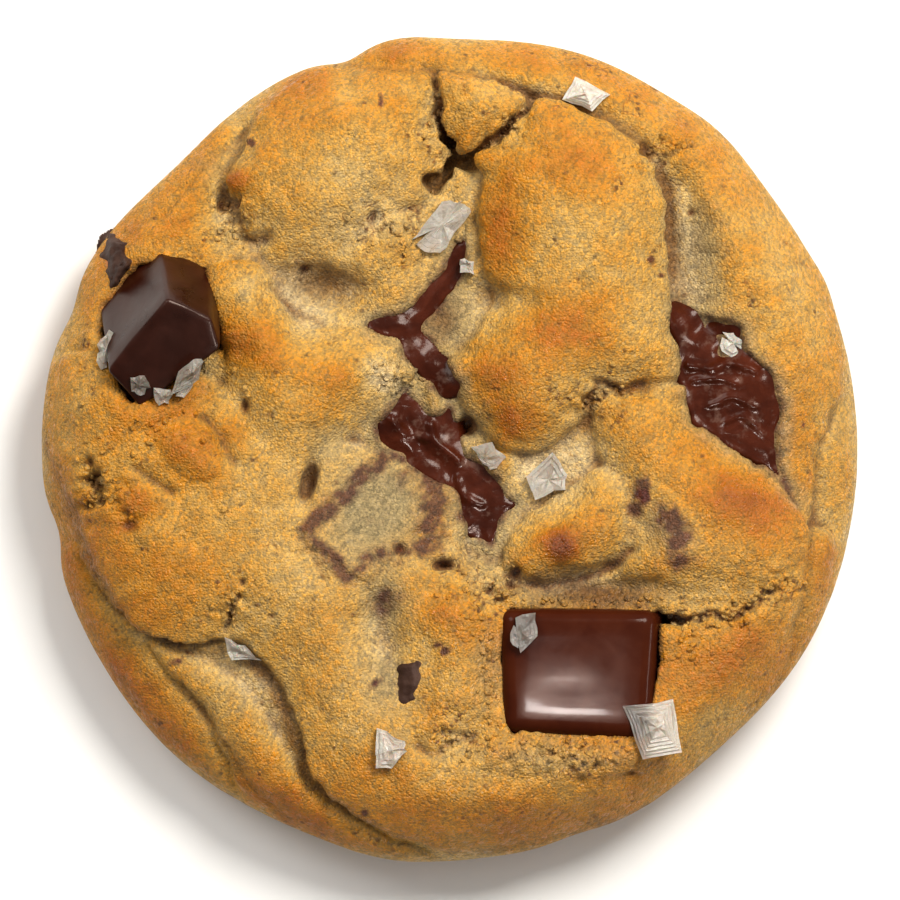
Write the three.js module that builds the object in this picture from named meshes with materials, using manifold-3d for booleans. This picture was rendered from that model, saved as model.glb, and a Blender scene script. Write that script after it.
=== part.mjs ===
// A thick bakery-style chocolate chunk cookie, baked from torn and folded lumps of dough, with broken bar
// chocolate sunk in its top and sea salt flakes scattered over it.
// Millimetres, +Z up, origin at the middle of the flat base. +Y is the side away from the big square slab.
import * as THREE from "three";
import { ConvexGeometry } from "three/addons/geometries/ConvexGeometry.js";
import { RoundedBoxGeometry } from "three/addons/geometries/RoundedBoxGeometry.js";
import { ImprovedNoise } from "three/addons/math/ImprovedNoise.js";
import { mergeVertices } from "three/addons/utils/BufferGeometryUtils.js";
import Module from "manifold-3d";

const wasm = await Module();
wasm.setup();
const noise = new ImprovedNoise();

// The whole cookie
const COOKIE_RADIUS = 41.0;
const WAIST_HEIGHT = 5.5; // where the cookie is widest
const DOME_HEIGHT = 13.4; // the lowest layer of dough, away from the folds
const DOME_FULLNESS = 5; // a higher power gives a flatter top and a tighter shoulder
const BASE_RADIUS = 37.0; // the flat that lay on the baking sheet
const BASE_FULLNESS = 2.6;
const SHOULDER_START = 0.84; // from this share of the radius outward the folds sink toward the side
const SHOULDER_SINK = 0.62;
const CLIFF_SLOPE = 2.4; // how fast a fold falls away outside its outline, mm for each mm
const FIT_GAP = 0.3; // clear space between the chocolate and the dough round it
const SKY = 12; // how far a bed under melted chocolate is opened upward
const MELT_RISE = -0.1; // the middle of a run of melted chocolate against the crust
const MELT_CAP_ROWS = 2;
const MELT_SIDES = 10;
const FLAKE_SINK = 0.5; // how deep a salt flake sits in what it lies on
const PYRAMID_TOP = 0.35; // the top of a salt pyramid as a share of its foot
const HEXAGON_TOP = 0.7;

// Texture of the crust: wavelength and height of each size of lump
const LUMPS = [{ wave: 11, height: 0.9 }, { wave: 5.2, height: 0.65 }, { wave: 2.9, height: 0.4 }];

// The dough is shaped from a sphere whose faces are shared out over the cookie's profile
const DOUGH_DETAIL = 19;
const PROFILE_STEPS = 400;
const TOP_WEIGHT = 1.0;
const SIDE_WEIGHT = 0.75;
const BASE_WEIGHT = 0.05;

// Swells and dips of the edge: angle in degrees, extra radius, half width in degrees
const EDGE_SWELLS = [
  { at: 24, out: 0.3, half: 4 },
  { at: 70, out: 0.9, half: 15 },
  { at: 97, out: 0.6, half: 6 },
  { at: 134, out: -1.4, half: 13 },
  { at: 192, out: -0.8, half: 4 },
  { at: 262, out: 0.6, half: 9 },
  { at: 288, out: -0.4, half: 5 },
  { at: 312, out: -0.7, half: 13 },
  { at: 50, out: 0.7, half: 8 },
  { at: 105, out: -0.7, half: 3.5 },
  { at: 160, out: -0.6, half: 4 },
  { at: 228, out: 0.35, half: 12 },
];

// Folds of dough. Each is a pillow: its height, the width of its rounded edge, how far that edge drops,
// how softly it runs into its neighbours, and the corners of its outline.
const FOLDS = {
  rim: { top: 15.0, edge: 7.0, drop: 3.6, soft: 0.8, outline: [
    [-10, 38.6], [-8.5, 40.6], [-3, 41.9], [5, 42], [13, 40.3], [19.5, 38], [26, 33.8], [32, 27.5],
    [36.5, 20.5], [39, 13], [39.3, 8], [38, 3.5], [36.9, -1], [36.3, -6], [35.5, -10], [33, -8],
    [29, -2], [24.5, 2], [22.8, 8], [22, 16], [21, 24], [18, 30], [12, 34], [5, 36.5], [-3, 37.6]
  ] },
  leftRim: { top: 14.4, edge: 8.0, drop: 4.5, soft: 1.8, outline: [
    [-41, -2], [-41, 6], [-40, 13], [-37, 19], [-33, 24.5], [-28, 29.5], [-23, 33], [-21, 27],
    [-24, 20], [-24, 12], [-20, 4], [-26, -2], [-34, -4]
  ] },
  upperSheet: { top: 15.9, edge: 8.0, drop: 4.4, soft: 0.9, outline: [
    [-40.8, 8], [-40, -1], [-38.3, -4.5], [-35.6, -11.5], [-33.8, -14.8], [-31, -17.3],
    [-27.5, -18.9], [-23, -19.2], [-20.3, -20], [-18, -22], [-16.5, -25], [-13.6, -32], [-11, -35],
    [-7.5, -37.6], [-3, -39.3], [2, -40.3], [8, -40.4], [14, -39], [22, -35], [29, -29.5],
    [34.5, -22.5], [37.3, -16], [38, -10], [34, -8], [28, -12], [20, -14], [12, -14], [6, -13],
    [2, -12], [3, -8], [0, -3], [-6, 0], [-12, 2.5], [-18, 5], [-26, 8], [-33, 10]
  ] },
  lowerFold: { top: 13.4, edge: 5.0, drop: 2.8, soft: 0.8, outline: [
    [-30, -18.5], [-22, -20.5], [-19, -23], [-16, -28], [-14, -33], [-11, -36], [-6, -39], [-2, -41],
    [-8, -40.5], [-15, -38], [-19, -35.5], [-22, -31.5], [-24.5, -27.5], [-27, -24]
  ] },
  leftPlate: { top: 15.6, edge: 8.0, drop: 2.8, soft: 1.6, outline: [
    [-12.5, 38.6], [-7, 38.3], [-2.2, 37.4], [-1.6, 34], [-0.6, 29], [-1.4, 26.4], [-5.5, 22],
    [-12, 18.6], [-17.5, 18.4], [-21, 21.8], [-22, 27.5], [-20.5, 30.5], [-16, 36.5]
  ] },
  leftPlateLip: { top: 14.8, edge: 3.4, drop: 1.6, soft: 1.2, outline: [
    [-7.8, 23], [-5, 23], [-2.8, 21.5], [-4.6, 18], [-8.8, 16.8], [-12, 18.8]
  ] },
  topCrumb: { top: 15.7, edge: 3.0, drop: 1.8, soft: 0.8, outline: [
    [-1, 37.3], [2, 37.8], [5, 36.5], [7.6, 34.2], [5.6, 32.2], [1.8, 30.4], [-0.6, 33.6]
  ] },
  tongue: { top: 17.6, edge: 7.5, drop: 4.6, soft: 1.0, outline: [
    [2.9, 29.6], [5, 31.2], [7.3, 33.4], [9.5, 35.1], [12.5, 34.4], [16, 32.7], [19.3, 30],
    [21.1, 26.5], [21.7, 22], [21.9, 17], [22.3, 12], [22.8, 7], [19, 5.8], [15.2, 5.2], [12.3, 1.8],
    [10, 0], [7.5, -0.4], [5, 0.2], [3, 1.8], [0, 7], [1.2, 10.6], [4.2, 15], [2.9, 20], [2.6, 24]
  ] },
  bridge: { top: 16.6, edge: 6.0, drop: 3.6, soft: 1.0, outline: [
    [15, 6], [18.5, 6.6], [22.8, 6.5], [24.2, 3.2], [27.2, 0.9], [31, -1.6], [34.2, -4.6], [35.8, -8],
    [35.6, -12], [33.5, -15], [29.5, -16.3], [25, -16.4], [21, -16], [17, -14.5], [16, -11], [17, -7],
    [15.6, -3], [14.2, 1]
  ] },
  bridgeSpur: { top: 16.2, edge: 4.0, drop: 3.2, soft: 0.8, outline: [
    [5.2, -11.6], [5.6, -9], [7.6, -6.4], [10.4, -4.6], [15.5, -1.5], [18.5, -3], [18.8, -7],
    [17.8, -10], [15, -11.8], [9.3, -13.6], [6.6, -13.6]
  ] },
  finger: { top: 16.4, edge: 5.0, drop: 3.4, soft: 1.2, outline: [
    [-23.7, 17.6], [-21.2, 18.8], [-18.8, 18.4], [-16, 13.8], [-14, 12.2], [-8.8, 12.4], [-6, 11.2],
    [-4, 9.2], [-3.8, 6.8], [-5.5, 5.8], [-8.5, 2.5], [-14, -4], [-18, -3], [-21, 1], [-22.6, 5.5],
    [-22.2, 10], [-23.8, 14]
  ] },
  leftKnob: { top: 16.9, edge: 4.6, drop: 3.2, soft: 1.2, outline: [
    [-31, 3.2], [-26.5, 4.4], [-23.3, 3.6], [-21.4, 1], [-20.5, -2], [-22, -4.4], [-25, -5],
    [-28.2, -4.2], [-30.2, -1.5], [-31.8, 0.8]
  ] },
  smallKnob: { top: 16.0, edge: 2.8, drop: 2.2, soft: 0.8, outline: [
    [-34, -3], [-32, -2.3], [-30, -2.6], [-28.4, -4.2], [-28.6, -6.5], [-30.5, -8], [-33, -7.2]
  ] },
  centreLump: { top: 16.0, edge: 3.8, drop: 3.2, soft: 1.0, outline: [
    [-5, -16], [-3.5, -13.5], [-1, -12], [2, -11.8], [4, -14], [5.5, -16], [4.8, -23], [5, -27],
    [3, -28.5], [-1, -30], [-3.5, -31], [-4, -28], [-3, -21]
  ] },
};

// Splits, valleys and ridges: the change of height, its half width, and the line that it follows
const CREASES = {
  plateEdge: { change: -1.0, width: 1.6, line: [[-20, 31.5], [-22.5, 27.5], [-22.5, 24.5]] },
  topSplit: { change: -1.6, width: 0.9, line: [[-1.6, 37.2], [-0.7, 33.2], [0.2, 30.8]] },
  topHole: { change: -3.2, width: 1.2, line: [[-0.2, 30.8], [1.6, 28.8], [-0.6, 27.6], [-1.6, 26.8]] },
  crumbSplit: { change: -1.3, width: 0.9, line: [[7.7, 34.2], [5.5, 32], [2.8, 30.2]] },
  topSeam: { change: -0.8, width: 0.9, line: [[-10.5, 38.6], [-3, 38], [5, 37], [8.5, 35.6]] },
  tongueNotch: { change: -1.0, width: 1.4, line: [[3.2, 15.6], [8, 14.8]] },
  rimValley: { change: -1.5, width: 2.4, line: [[23.8, 26], [24.4, 21], [25, 16]] },
  slabLip: { change: 0.8, width: 1.4, line: [[4.5, -30.5], [11, -31], [18, -31]] },
  slabLedge: { change: -0.9, width: 1.0, line: [[6, -14.8], [12, -14.6], [18, -14.8], [22, -16]] },
  tongueSeam: {
    change: -1.0, width: 0.9, line: [[9.5, 35.6], [16.9, 33.1], [21.8, 26.5], [22.6, 17], [23.3, 8]],
  },
  bridgeSplit: { change: -1.2, width: 0.9, line: [[23, -17.2], [26.2, -16.2], [31, -15]] },
  lumpValley: { change: -1.4, width: 1.4, line: [[-7.2, -15.5], [-6, -20], [-4.8, -24.5]] },
  knobCrease: { change: -1.0, width: 0.9, line: [[-24.5, 3.2], [-22.8, 1.4], [-21.5, -1.2]] },
  plateHollow: { change: -1.4, width: 0.9, line: [[-21.8, 25], [-21, 22.6], [-18.6, 21]] },
  sheetCrease: { change: -1.2, width: 0.9, line: [[-40.6, 1], [-37.9, -5], [-35, -13], [-32.8, -16.2]] },
  outerFold: { change: -0.8, width: 0.9, line: [[-26.8, -23.5], [-22.8, -29], [-18.8, -35], [-16, -37.2]] },
  outerCrease: {
    change: -0.8, width: 0.9, line: [[38.5, 3], [36.5, -4], [35, -17], [30.5, -28], [20, -36], [3, -40.4]],
  },
};

// Hollows: where, how wide each way, how far turned, and how deep
const HOLLOWS = {
  pocket: { at: [-13.5, 16.4], half: [3.2, 2.2], turn: 10, depth: 2.2 },
  slot: { at: [-14, -3.1], half: [0.9, 2.0], turn: -15, depth: 1.8 },
  knobPit: { at: [-35.5, -3.4], half: [0.9, 1.6], turn: 0, depth: 2.2 },
  upperValley: { at: [-1.5, 13.0], half: [3.2, 4.2], turn: -20, depth: 1.2 },
  plateFoot: { at: [-0.5, 22.5], half: [2.5, 5.0], turn: 0, depth: 0.9 },
  spurShade: { at: [12.0, -5.6], half: [5.0, 2.2], turn: 30, depth: 0.8 },
  film: { at: [-6.5, -5.5], half: [7.0, 5.5], turn: 40, depth: 2.0 },
  slabSeat: { at: [13, -22], half: [9.0, 7.0], turn: 0, depth: 1.8 },
  lumpSide: { at: [-6.8, -19.5], half: [2.8, 7.0], turn: 8, depth: 2.2 },
};

function smoothLine(points, closed) {
  const corners = points.map(([x, y]) => new THREE.Vector3(x, y, 0));
  return new THREE.CatmullRomCurve3(corners, closed, "centripetal").getPoints(points.length * 3);
}

for (const fold of Object.values(FOLDS)) {
  fold.path = smoothLine(fold.outline, true);
}
for (const crease of Object.values(CREASES)) {
  crease.path = smoothLine(crease.line, false);
}

function distanceToPath(path, x, y) {
  let nearest = Infinity;
  for (let i = 1; i < path.length; i += 1) {
    const a = path[i - 1];
    const b = path[i];
    const dx = b.x - a.x;
    const dy = b.y - a.y;
    const along = THREE.MathUtils.clamp(((x - a.x) * dx + (y - a.y) * dy) / (dx * dx + dy * dy), 0, 1);
    nearest = Math.min(nearest, Math.hypot(x - a.x - dx * along, y - a.y - dy * along));
  }
  return nearest;
}

function isInside(path, x, y) {
  let inside = false;
  for (let i = 1; i < path.length; i += 1) {
    const a = path[i - 1];
    const b = path[i];
    if (a.y > y !== b.y > y && x < a.x + ((b.x - a.x) * (y - a.y)) / (b.y - a.y)) {
      inside = !inside;
    }
  }
  return inside;
}

function smoothMax(a, b, softness) {
  const overlap = Math.max(softness - Math.abs(a - b), 0) / softness;
  return Math.max(a, b) + overlap * overlap * softness * 0.25;
}

function edgeRadius(angle) {
  const degrees = THREE.MathUtils.radToDeg(angle);
  let radius = COOKIE_RADIUS;
  for (const { at, out, half } of EDGE_SWELLS) {
    const away = THREE.MathUtils.euclideanModulo(degrees - at + 180, 360) - 180;
    radius += out * Math.exp(-((away / half) ** 2));
  }
  return radius;
}

function domeHeight(x, y) {
  const reach = Math.min(Math.hypot(x, y) / edgeRadius(Math.atan2(y, x)), 1);
  return WAIST_HEIGHT + (DOME_HEIGHT - WAIST_HEIGHT) * Math.sqrt(1 - reach ** DOME_FULLNESS);
}

function foldHeight(fold, x, y) {
  const distance = distanceToPath(fold.path, x, y);
  if (!isInside(fold.path, x, y)) {
    return fold.top - fold.drop - CLIFF_SLOPE * distance;
  }
  const fromCrown = 1 - Math.min(distance / fold.edge, 1);
  return fold.top - fold.drop * (1 - Math.sqrt(1 - fromCrown ** 2));
}

function hollowDepth({ at, half, turn, depth }, x, y) {
  const place = new THREE.Vector2(x - at[0], y - at[1]);
  place.rotateAround(new THREE.Vector2(), -THREE.MathUtils.degToRad(turn));
  return depth * Math.exp(-((place.x / half[0]) ** 2) - (place.y / half[1]) ** 2);
}

function lumpHeight(x, y) {
  let height = 0;
  for (const [layer, lump] of LUMPS.entries()) {
    height += lump.height * noise.noise(x / lump.wave, y / lump.wave, layer * 7.3 + 0.5);
  }
  return height;
}

// How far the folds and creases lift the crust above the plain dome
function raiseAt(x, y) {
  const dome = domeHeight(x, y);
  let height = dome;
  for (const fold of Object.values(FOLDS)) {
    height = smoothMax(height, foldHeight(fold, x, y), fold.soft);
  }
  for (const crease of Object.values(CREASES)) {
    height += crease.change * Math.exp(-((distanceToPath(crease.path, x, y) / crease.width) ** 2));
  }
  for (const hollow of Object.values(HOLLOWS)) {
    height -= hollowDepth(hollow, x, y);
  }
  const reach = Math.hypot(x, y) / edgeRadius(Math.atan2(y, x));
  const shoulder = 1 - SHOULDER_SINK * THREE.MathUtils.smoothstep(reach, SHOULDER_START, 1);
  return (height + lumpHeight(x, y) - dome) * shoulder;
}

// Height of the crust above the baking sheet
function crustHeight(x, y) {
  return domeHeight(x, y) + raiseAt(x, y);
}

// Half of the cookie's section, from the middle of the top over the shoulder to the middle of the base
function cookieProfile() {
  const stations = [];
  for (let i = 0; i <= PROFILE_STEPS; i += 1) {
    const turn = (i / PROFILE_STEPS) * (Math.PI / 2);
    const radius = COOKIE_RADIUS * Math.sin(turn) ** (2 / DOME_FULLNESS);
    const height = WAIST_HEIGHT + (DOME_HEIGHT - WAIST_HEIGHT) * Math.cos(turn);
    stations.push({ radius, height, weight: TOP_WEIGHT });
  }
  for (let i = 1; i <= PROFILE_STEPS; i += 1) {
    const turn = (i / PROFILE_STEPS) * (Math.PI / 2);
    const tuck = (COOKIE_RADIUS - BASE_RADIUS) * Math.cos(turn) ** (2 / BASE_FULLNESS);
    const height = WAIST_HEIGHT * (1 - Math.sin(turn));
    stations.push({ radius: BASE_RADIUS + tuck, height, weight: SIDE_WEIGHT });
  }
  stations.push({ radius: 0, height: 0, weight: BASE_WEIGHT });
  let area = 0;
  stations[0].share = 0;
  for (let i = 1; i < stations.length; i += 1) {
    const a = stations[i - 1];
    const b = stations[i];
    area += Math.hypot(a.radius - b.radius, a.height - b.height) * (a.radius + b.radius) * b.weight;
    b.share = area;
  }
  for (const station of stations) {
    station.share /= area;
  }
  return stations;
}

function profileAt(stations, share) {
  const next = Math.max(stations.findIndex((station) => station.share >= share), 1);
  const a = stations[next - 1];
  const b = stations[next];
  const part = (share - a.share) / (b.share - a.share);
  // the area of a flat ring grows with the square of its radius
  const radius = Math.sqrt(THREE.MathUtils.lerp(a.radius ** 2, b.radius ** 2, part));
  return { radius, height: THREE.MathUtils.lerp(a.height, b.height, part), onTop: next <= PROFILE_STEPS };
}

function doughGeometry() {
  const sphere = new THREE.IcosahedronGeometry(1, DOUGH_DETAIL);
  sphere.deleteAttribute("uv");
  sphere.deleteAttribute("normal");
  const dough = mergeVertices(sphere);
  const points = dough.attributes.position;
  const stations = cookieProfile();
  for (let i = 0; i < points.count; i += 1) {
    const angle = Math.atan2(points.getY(i), points.getX(i));
    const spot = profileAt(stations, THREE.MathUtils.clamp((1 - points.getZ(i)) / 2, 0, 1));
    const swell = edgeRadius(angle) / COOKIE_RADIUS;
    const x = spot.radius * swell * Math.cos(angle);
    const y = spot.radius * swell * Math.sin(angle);
    const reach = spot.onTop ? 1 : COOKIE_RADIUS / Math.max(spot.radius, 1);
    const fade = spot.onTop ? 1 : spot.height / WAIST_HEIGHT;
    points.setXYZ(i, x, y, spot.height + raiseAt(x * reach, y * reach) * fade);
  }
  return dough;
}

function toSolid(geometry) {
  const bare = new THREE.BufferGeometry();
  bare.setAttribute("position", geometry.attributes.position.clone());
  bare.setIndex(geometry.index);
  const merged = mergeVertices(bare, 1e-4);
  const triangles = [];
  const index = merged.index.array;
  for (let i = 0; i < index.length; i += 3) {
    if (index[i] !== index[i + 1] && index[i + 1] !== index[i + 2] && index[i + 2] !== index[i]) {
      triangles.push(index[i], index[i + 1], index[i + 2]);
    }
  }
  const vertProperties = new Float32Array(merged.attributes.position.array);
  const triVerts = new Uint32Array(triangles);
  return new wasm.Manifold(new wasm.Mesh({ numProp: 3, vertProperties, triVerts }));
}

function toNode(solid, name, material) {
  const { vertProperties, triVerts } = solid.getMesh();
  const geometry = new THREE.BufferGeometry();
  geometry.setAttribute("position", new THREE.BufferAttribute(new Float32Array(vertProperties), 3));
  geometry.setIndex(new THREE.BufferAttribute(new Uint32Array(triVerts), 1));
  geometry.computeVertexNormals();
  const node = new THREE.Mesh(geometry, material);
  node.name = name;
  return node;
}

// A broken block of chocolate: a five-cornered face carried back into the dough, its edges taken off.
// The hull of a small octahedron at each corner keeps every face at the same distance from the core.
function brokenBlock({ face, reach, round }, spare) {
  const back = new THREE.Vector3(...reach);
  const corners = face.map((corner) => new THREE.Vector3(...corner));
  corners.push(...corners.map((corner) => corner.clone().add(back)));
  const middle = new THREE.Box3().setFromPoints(corners).getCenter(new THREE.Vector3());
  const tip = round + spare * Math.sqrt(3);
  const tips = [[tip, 0, 0], [-tip, 0, 0], [0, tip, 0], [0, -tip, 0], [0, 0, tip], [0, 0, -tip]];
  const points = corners.flatMap((corner) => {
    const core = middle.clone().sub(corner).setLength(round).add(corner);
    return tips.map((offset) => core.clone().add(new THREE.Vector3(...offset)));
  });
  return new ConvexGeometry(points);
}

// A block of chocolate laid in the dough: its size, the middle of its top, and how it is turned and tilted
function laidBlock({ size, at, turn, tilt, lean, round }, spare) {
  const grown = size.map((side) => side + 2 * spare);
  const block = new RoundedBoxGeometry(...grown, 1, round + spare);
  block.translate(0, 0, -size[2] / 2);
  block.rotateX(THREE.MathUtils.degToRad(tilt));
  block.rotateY(THREE.MathUtils.degToRad(lean));
  block.rotateZ(THREE.MathUtils.degToRad(turn));
  return block.translate(...at);
}

// The square slab: a moulded piece whose four sides slope outward below its top face
function slabGeometry({ corners, topHeight, depth, slope }, spare) {
  const shape = new THREE.Shape(corners.map(([x, y]) => new THREE.Vector2(x, y)));
  const straight = depth - 2 * slope;
  const slab = new THREE.ExtrudeGeometry(shape, {
    depth: straight + 2 * spare,
    bevelThickness: slope,
    bevelSize: slope,
    bevelOffset: spare,
    bevelSegments: 2,
  });
  return slab.translate(0, 0, topHeight - slope - straight - spare);
}

// A run of melted chocolate: a flattened tube along stations of place, half width and half thickness
function meltGeometry(stations, spare, lift) {
  const places = stations.map(({ at }) => new THREE.Vector3(...at));
  const path = new THREE.CatmullRomCurve3(places, false, "centripetal");
  const halves = stations.map(({ wide, thick }) => new THREE.Vector3(wide, thick, 0));
  const widths = new THREE.CatmullRomCurve3(halves);
  const length = path.getLength();
  const tube = new THREE.CapsuleGeometry(1, length, MELT_CAP_ROWS, MELT_SIDES, stations.length + 2);
  const points = tube.attributes.position;
  for (let i = 0; i < points.count; i += 1) {
    const along = THREE.MathUtils.clamp((points.getY(i) + 1 + length / 2) / (length + 2), 0, 1);
    const centre = path.getPoint(along);
    const tangent = path.getTangent(along);
    const side = new THREE.Vector3(tangent.y, -tangent.x, 0).normalize();
    const half = widths.getPoint(along);
    const up = points.getZ(i);
    const pastEnd = points.getY(i) - THREE.MathUtils.clamp(points.getY(i), -length / 2, length / 2);
    centre.addScaledVector(tangent, pastEnd * spare);
    centre.addScaledVector(side, points.getX(i) * (half.x + spare));
    centre.z += up * (half.y + spare) + (up > 0.01 ? lift : 0);
    points.setXYZ(i, centre.x, centre.y, centre.z);
  }
  return tube;
}

// Salt crystals: small hollow pyramids, plates and blocks as they grow in a pan
function flakeGeometry({ form, size, at, turn, tilt = 0 }, spare) {
  const [wide, deep, high] = size.map((side) => side + 2 * spare);
  const sides = { pyramid: 4, hexagon: 6 }[form];
  let flake = new THREE.BoxGeometry(wide, deep, high);
  if (sides) {
    const narrowing = form === "pyramid" ? PYRAMID_TOP : HEXAGON_TOP;
    flake = new THREE.CylinderGeometry(narrowing / 2, 1 / 2, 1, sides);
    flake.rotateX(Math.PI / 2).rotateZ(Math.PI / 4).scale(wide * Math.SQRT2, deep * Math.SQRT2, high);
  }
  flake.rotateX(THREE.MathUtils.degToRad(tilt)).rotateZ(THREE.MathUtils.degToRad(turn));
  return flake.translate(at[0], at[1], at[2] + size[2] / 2 - FLAKE_SINK);
}

function withFlakes(solid, flakes, spare) {
  return flakes.reduce((sum, flake) => sum.add(toSolid(flakeGeometry(flake, spare))), solid);
}

function largestBody(solid) {
  const bodies = solid.decompose();
  bodies.sort((a, b) => b.volume() - a.volume());
  return bodies[0];
}

// Sets a thing down on the crust at the height that its place has
function onCrust([x, y], rise = 0) {
  return [x, y, crustHeight(x, y) + rise];
}

const CHUNK_LEFT = {
  block: {
    face: [
      [-28.1, 15.0, 20.5], [-23.6, 13.0, 19.3], [-22.8, 10.0, 17.9], [-31.0, 4.2, 15.8], [-34.0, 7.8, 17.6],
    ],
    reach: [-0.65, 4.9, -8.0],
    round: 0.4,
  },
  flakes: [
    { form: "plate", size: [2.2, 3.4, 1.4], at: [-34.0, 10.1, 14.2], turn: -20 },
    { form: "plate", size: [1.9, 1.9, 1.1], at: [-30.8, 6.3, 16.8], turn: 30 },
    { form: "pyramid", size: [2.8, 3.4, 1.5], at: [-26.2, 7.2, 17.0], turn: -35 },
  ],
};
const CHUNK_SLAB = {
  block: {
    corners: [[6.3, -27.2], [19.6, -27.6], [20.0, -16.8], [6.0, -16.9]],
    topHeight: 16.3,
    depth: 7.0,
    slope: 1.5,
  },
  flakes: [
    { form: "hexagon", size: [2.9, 4.0, 1.3], at: [7.4, -18.4, 16.3], turn: 20 },
    { form: "pyramid", size: [5.4, 5.8, 2.4], at: [20.3, -27.6, 15.8], turn: 8 },
  ],
};
const LAID_CHUNKS = {
  filmed_chunk_centre: {
    size: [11.6, 7.0, 4.0], at: onCrust([-7.4, -6.4], 1.1), turn: 43, tilt: 3, lean: 2, round: 0.8,
  },
  filmed_chunk_right: {
    size: [9.4, 4.2, 3.0], at: onCrust([21.4, -7.0], 0.5), turn: -46, tilt: 0, lean: 3, round: 0.7,
  },
  chip_left: {
    size: [2.1, 4.8, 2.4], at: onCrust([-33.5, 18.8], 0.9), turn: 14, tilt: 8, lean: 0, round: 0.4,
  },
  chip_lower: {
    size: [1.9, 3.6, 2.2], at: onCrust([-4.2, -23.2], 0.9), turn: -8, tilt: 0, lean: 6, round: 0.4,
  },
};
const MELTS = {
  melted_right: {
    runs: [[
      { at: [24.8, 13.4], wide: 1.8, thick: 0.9 },
      { at: [26.0, 11.0], wide: 3.0, thick: 1.0 },
      { at: [27.9, 8.0], wide: 4.0, thick: 1.2 },
      { at: [29.2, 4.6], wide: 4.0, thick: 1.3 },
      { at: [30.8, 1.4], wide: 3.0, thick: 1.2 },
      { at: [32.4, -1.8], wide: 1.4, thick: 1.0 },
      { at: [33.8, -4.0], wide: 0.6, thick: 0.8 },
    ]],
    flakes: [
      { form: "hexagon", size: [2.4, 2.5, 1.8], at: onCrust([27.6, 10.2], 0.8), turn: 0 },
      { form: "bar", size: [2.2, 0.9, 0.9], at: onCrust([30.4, 6.7], 1.0), turn: 35 },
      { form: "bar", size: [2.4, 0.9, 0.9], at: onCrust([31.6, 6.1], 1.0), turn: -60 },
    ],
  },
  melted_upper: {
    runs: [
      [
        { at: [1.5, 18.6], wide: 0.6, thick: 0.8 },
        { at: [-0.2, 16.6], wide: 1.0, thick: 0.8 },
        { at: [-2.6, 14.4], wide: 1.1, thick: 0.8 },
        { at: [-5.2, 12.8], wide: 1.0, thick: 0.8 },
        { at: [-8.2, 12.5], wide: 0.7, thick: 0.8 },
      ],
      [
        { at: [-4.9, 12.6], wide: 0.9, thick: 0.7 },
        { at: [-4.0, 9.8], wide: 0.9, thick: 0.8 },
        { at: [-2.2, 8.0], wide: 0.8, thick: 0.8 },
        { at: [-0.8, 6.4], wide: 0.6, thick: 0.8 },
      ],
    ],
    flakes: [],
  },
  melted_lower: {
    runs: [[
      { at: [-5.0, 5.2], wide: 0.8, thick: 0.9 },
      { at: [-4.2, 2.6], wide: 1.9, thick: 1.0 },
      { at: [-2.0, 0.4], wide: 2.4, thick: 1.1 },
      { at: [0.6, -1.8], wide: 2.6, thick: 1.1 },
      { at: [3.0, -4.6], wide: 2.3, thick: 1.0 },
      { at: [3.7, -7.2], wide: 1.4, thick: 0.9 },
      { at: [3.7, -9.0], wide: 0.6, thick: 0.8 },
    ]],
    flakes: [],
  },
};
const COOKIE_FLAKES = [
  { form: "pyramid", size: [4.4, 3.4, 1.9], at: onCrust([13.4, 35.4], 0.3), turn: 18 },
  { form: "plate", size: [3.4, 3.4, 1.2], at: onCrust([-2.4, 22.4], 0.9), turn: 25, tilt: 8 },
  { form: "plate", size: [3.4, 2.4, 1.2], at: onCrust([0.0, 22.6], 0.9), turn: -60, tilt: -6 },
  { form: "plate", size: [1.4, 1.4, 1.3], at: onCrust([1.7, 18.2], 0.6), turn: 0 },
  { form: "plate", size: [3.4, 1.9, 1.3], at: onCrust([4.0, -0.6], 0.5), turn: -30 },
  { form: "plate", size: [4.0, 4.4, 1.2], at: onCrust([9.8, -2.7], 0.6), turn: 12, tilt: 6 },
  { form: "pyramid", size: [3.0, 3.8, 1.7], at: onCrust([-5.8, -30.0], 0.3), turn: 5 },
  { form: "hexagon", size: [3.8, 2.5, 1.4], at: onCrust([-20.9, -20.2], 0.5), turn: -25 },
];

const doughLook = new THREE.MeshStandardMaterial({ color: "#cf9148", roughness: 0.88, metalness: 0 });
const chocolateLook = new THREE.MeshStandardMaterial({ color: "#4a2110", roughness: 0.34, metalness: 0 });
const filmedLook = new THREE.MeshStandardMaterial({ color: "#7d5a3c", roughness: 0.6, metalness: 0 });

function meltSolid(runs, spare, lift) {
  const solids = runs.map((stations) => {
    const placed = stations.map((station) => ({ ...station, at: onCrust(station.at, MELT_RISE) }));
    return toSolid(meltGeometry(placed, spare, lift));
  });
  return solids.reduce((sum, solid) => sum.add(solid));
}

// Every piece of chocolate as its solid and as the bed that it needs in the dough
function chocolatePieces() {
  const pieces = [];
  const addPiece = (name, look, shape, flakes = []) => {
    const solid = withFlakes(shape(0), flakes, 0);
    const bed = withFlakes(shape(FIT_GAP), flakes, FIT_GAP);
    pieces.push({ name, look, solid, bed });
  };
  const leftShape = (spare) => toSolid(brokenBlock(CHUNK_LEFT.block, spare));
  addPiece("chunk_left", chocolateLook, leftShape, CHUNK_LEFT.flakes);
  const slabShape = (spare) => toSolid(slabGeometry(CHUNK_SLAB.block, spare));
  addPiece("chunk_slab", chocolateLook, slabShape, CHUNK_SLAB.flakes);
  for (const [name, chunk] of Object.entries(LAID_CHUNKS)) {
    const look = name.startsWith("filmed") ? filmedLook : chocolateLook;
    addPiece(name, look, (spare) => toSolid(laidBlock(chunk, spare)));
  }
  for (const [name, { runs, flakes }] of Object.entries(MELTS)) {
    addPiece(name, chocolateLook, (spare) => meltSolid(runs, spare, spare > 0 ? SKY : 0), flakes);
  }
  return pieces;
}

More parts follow.
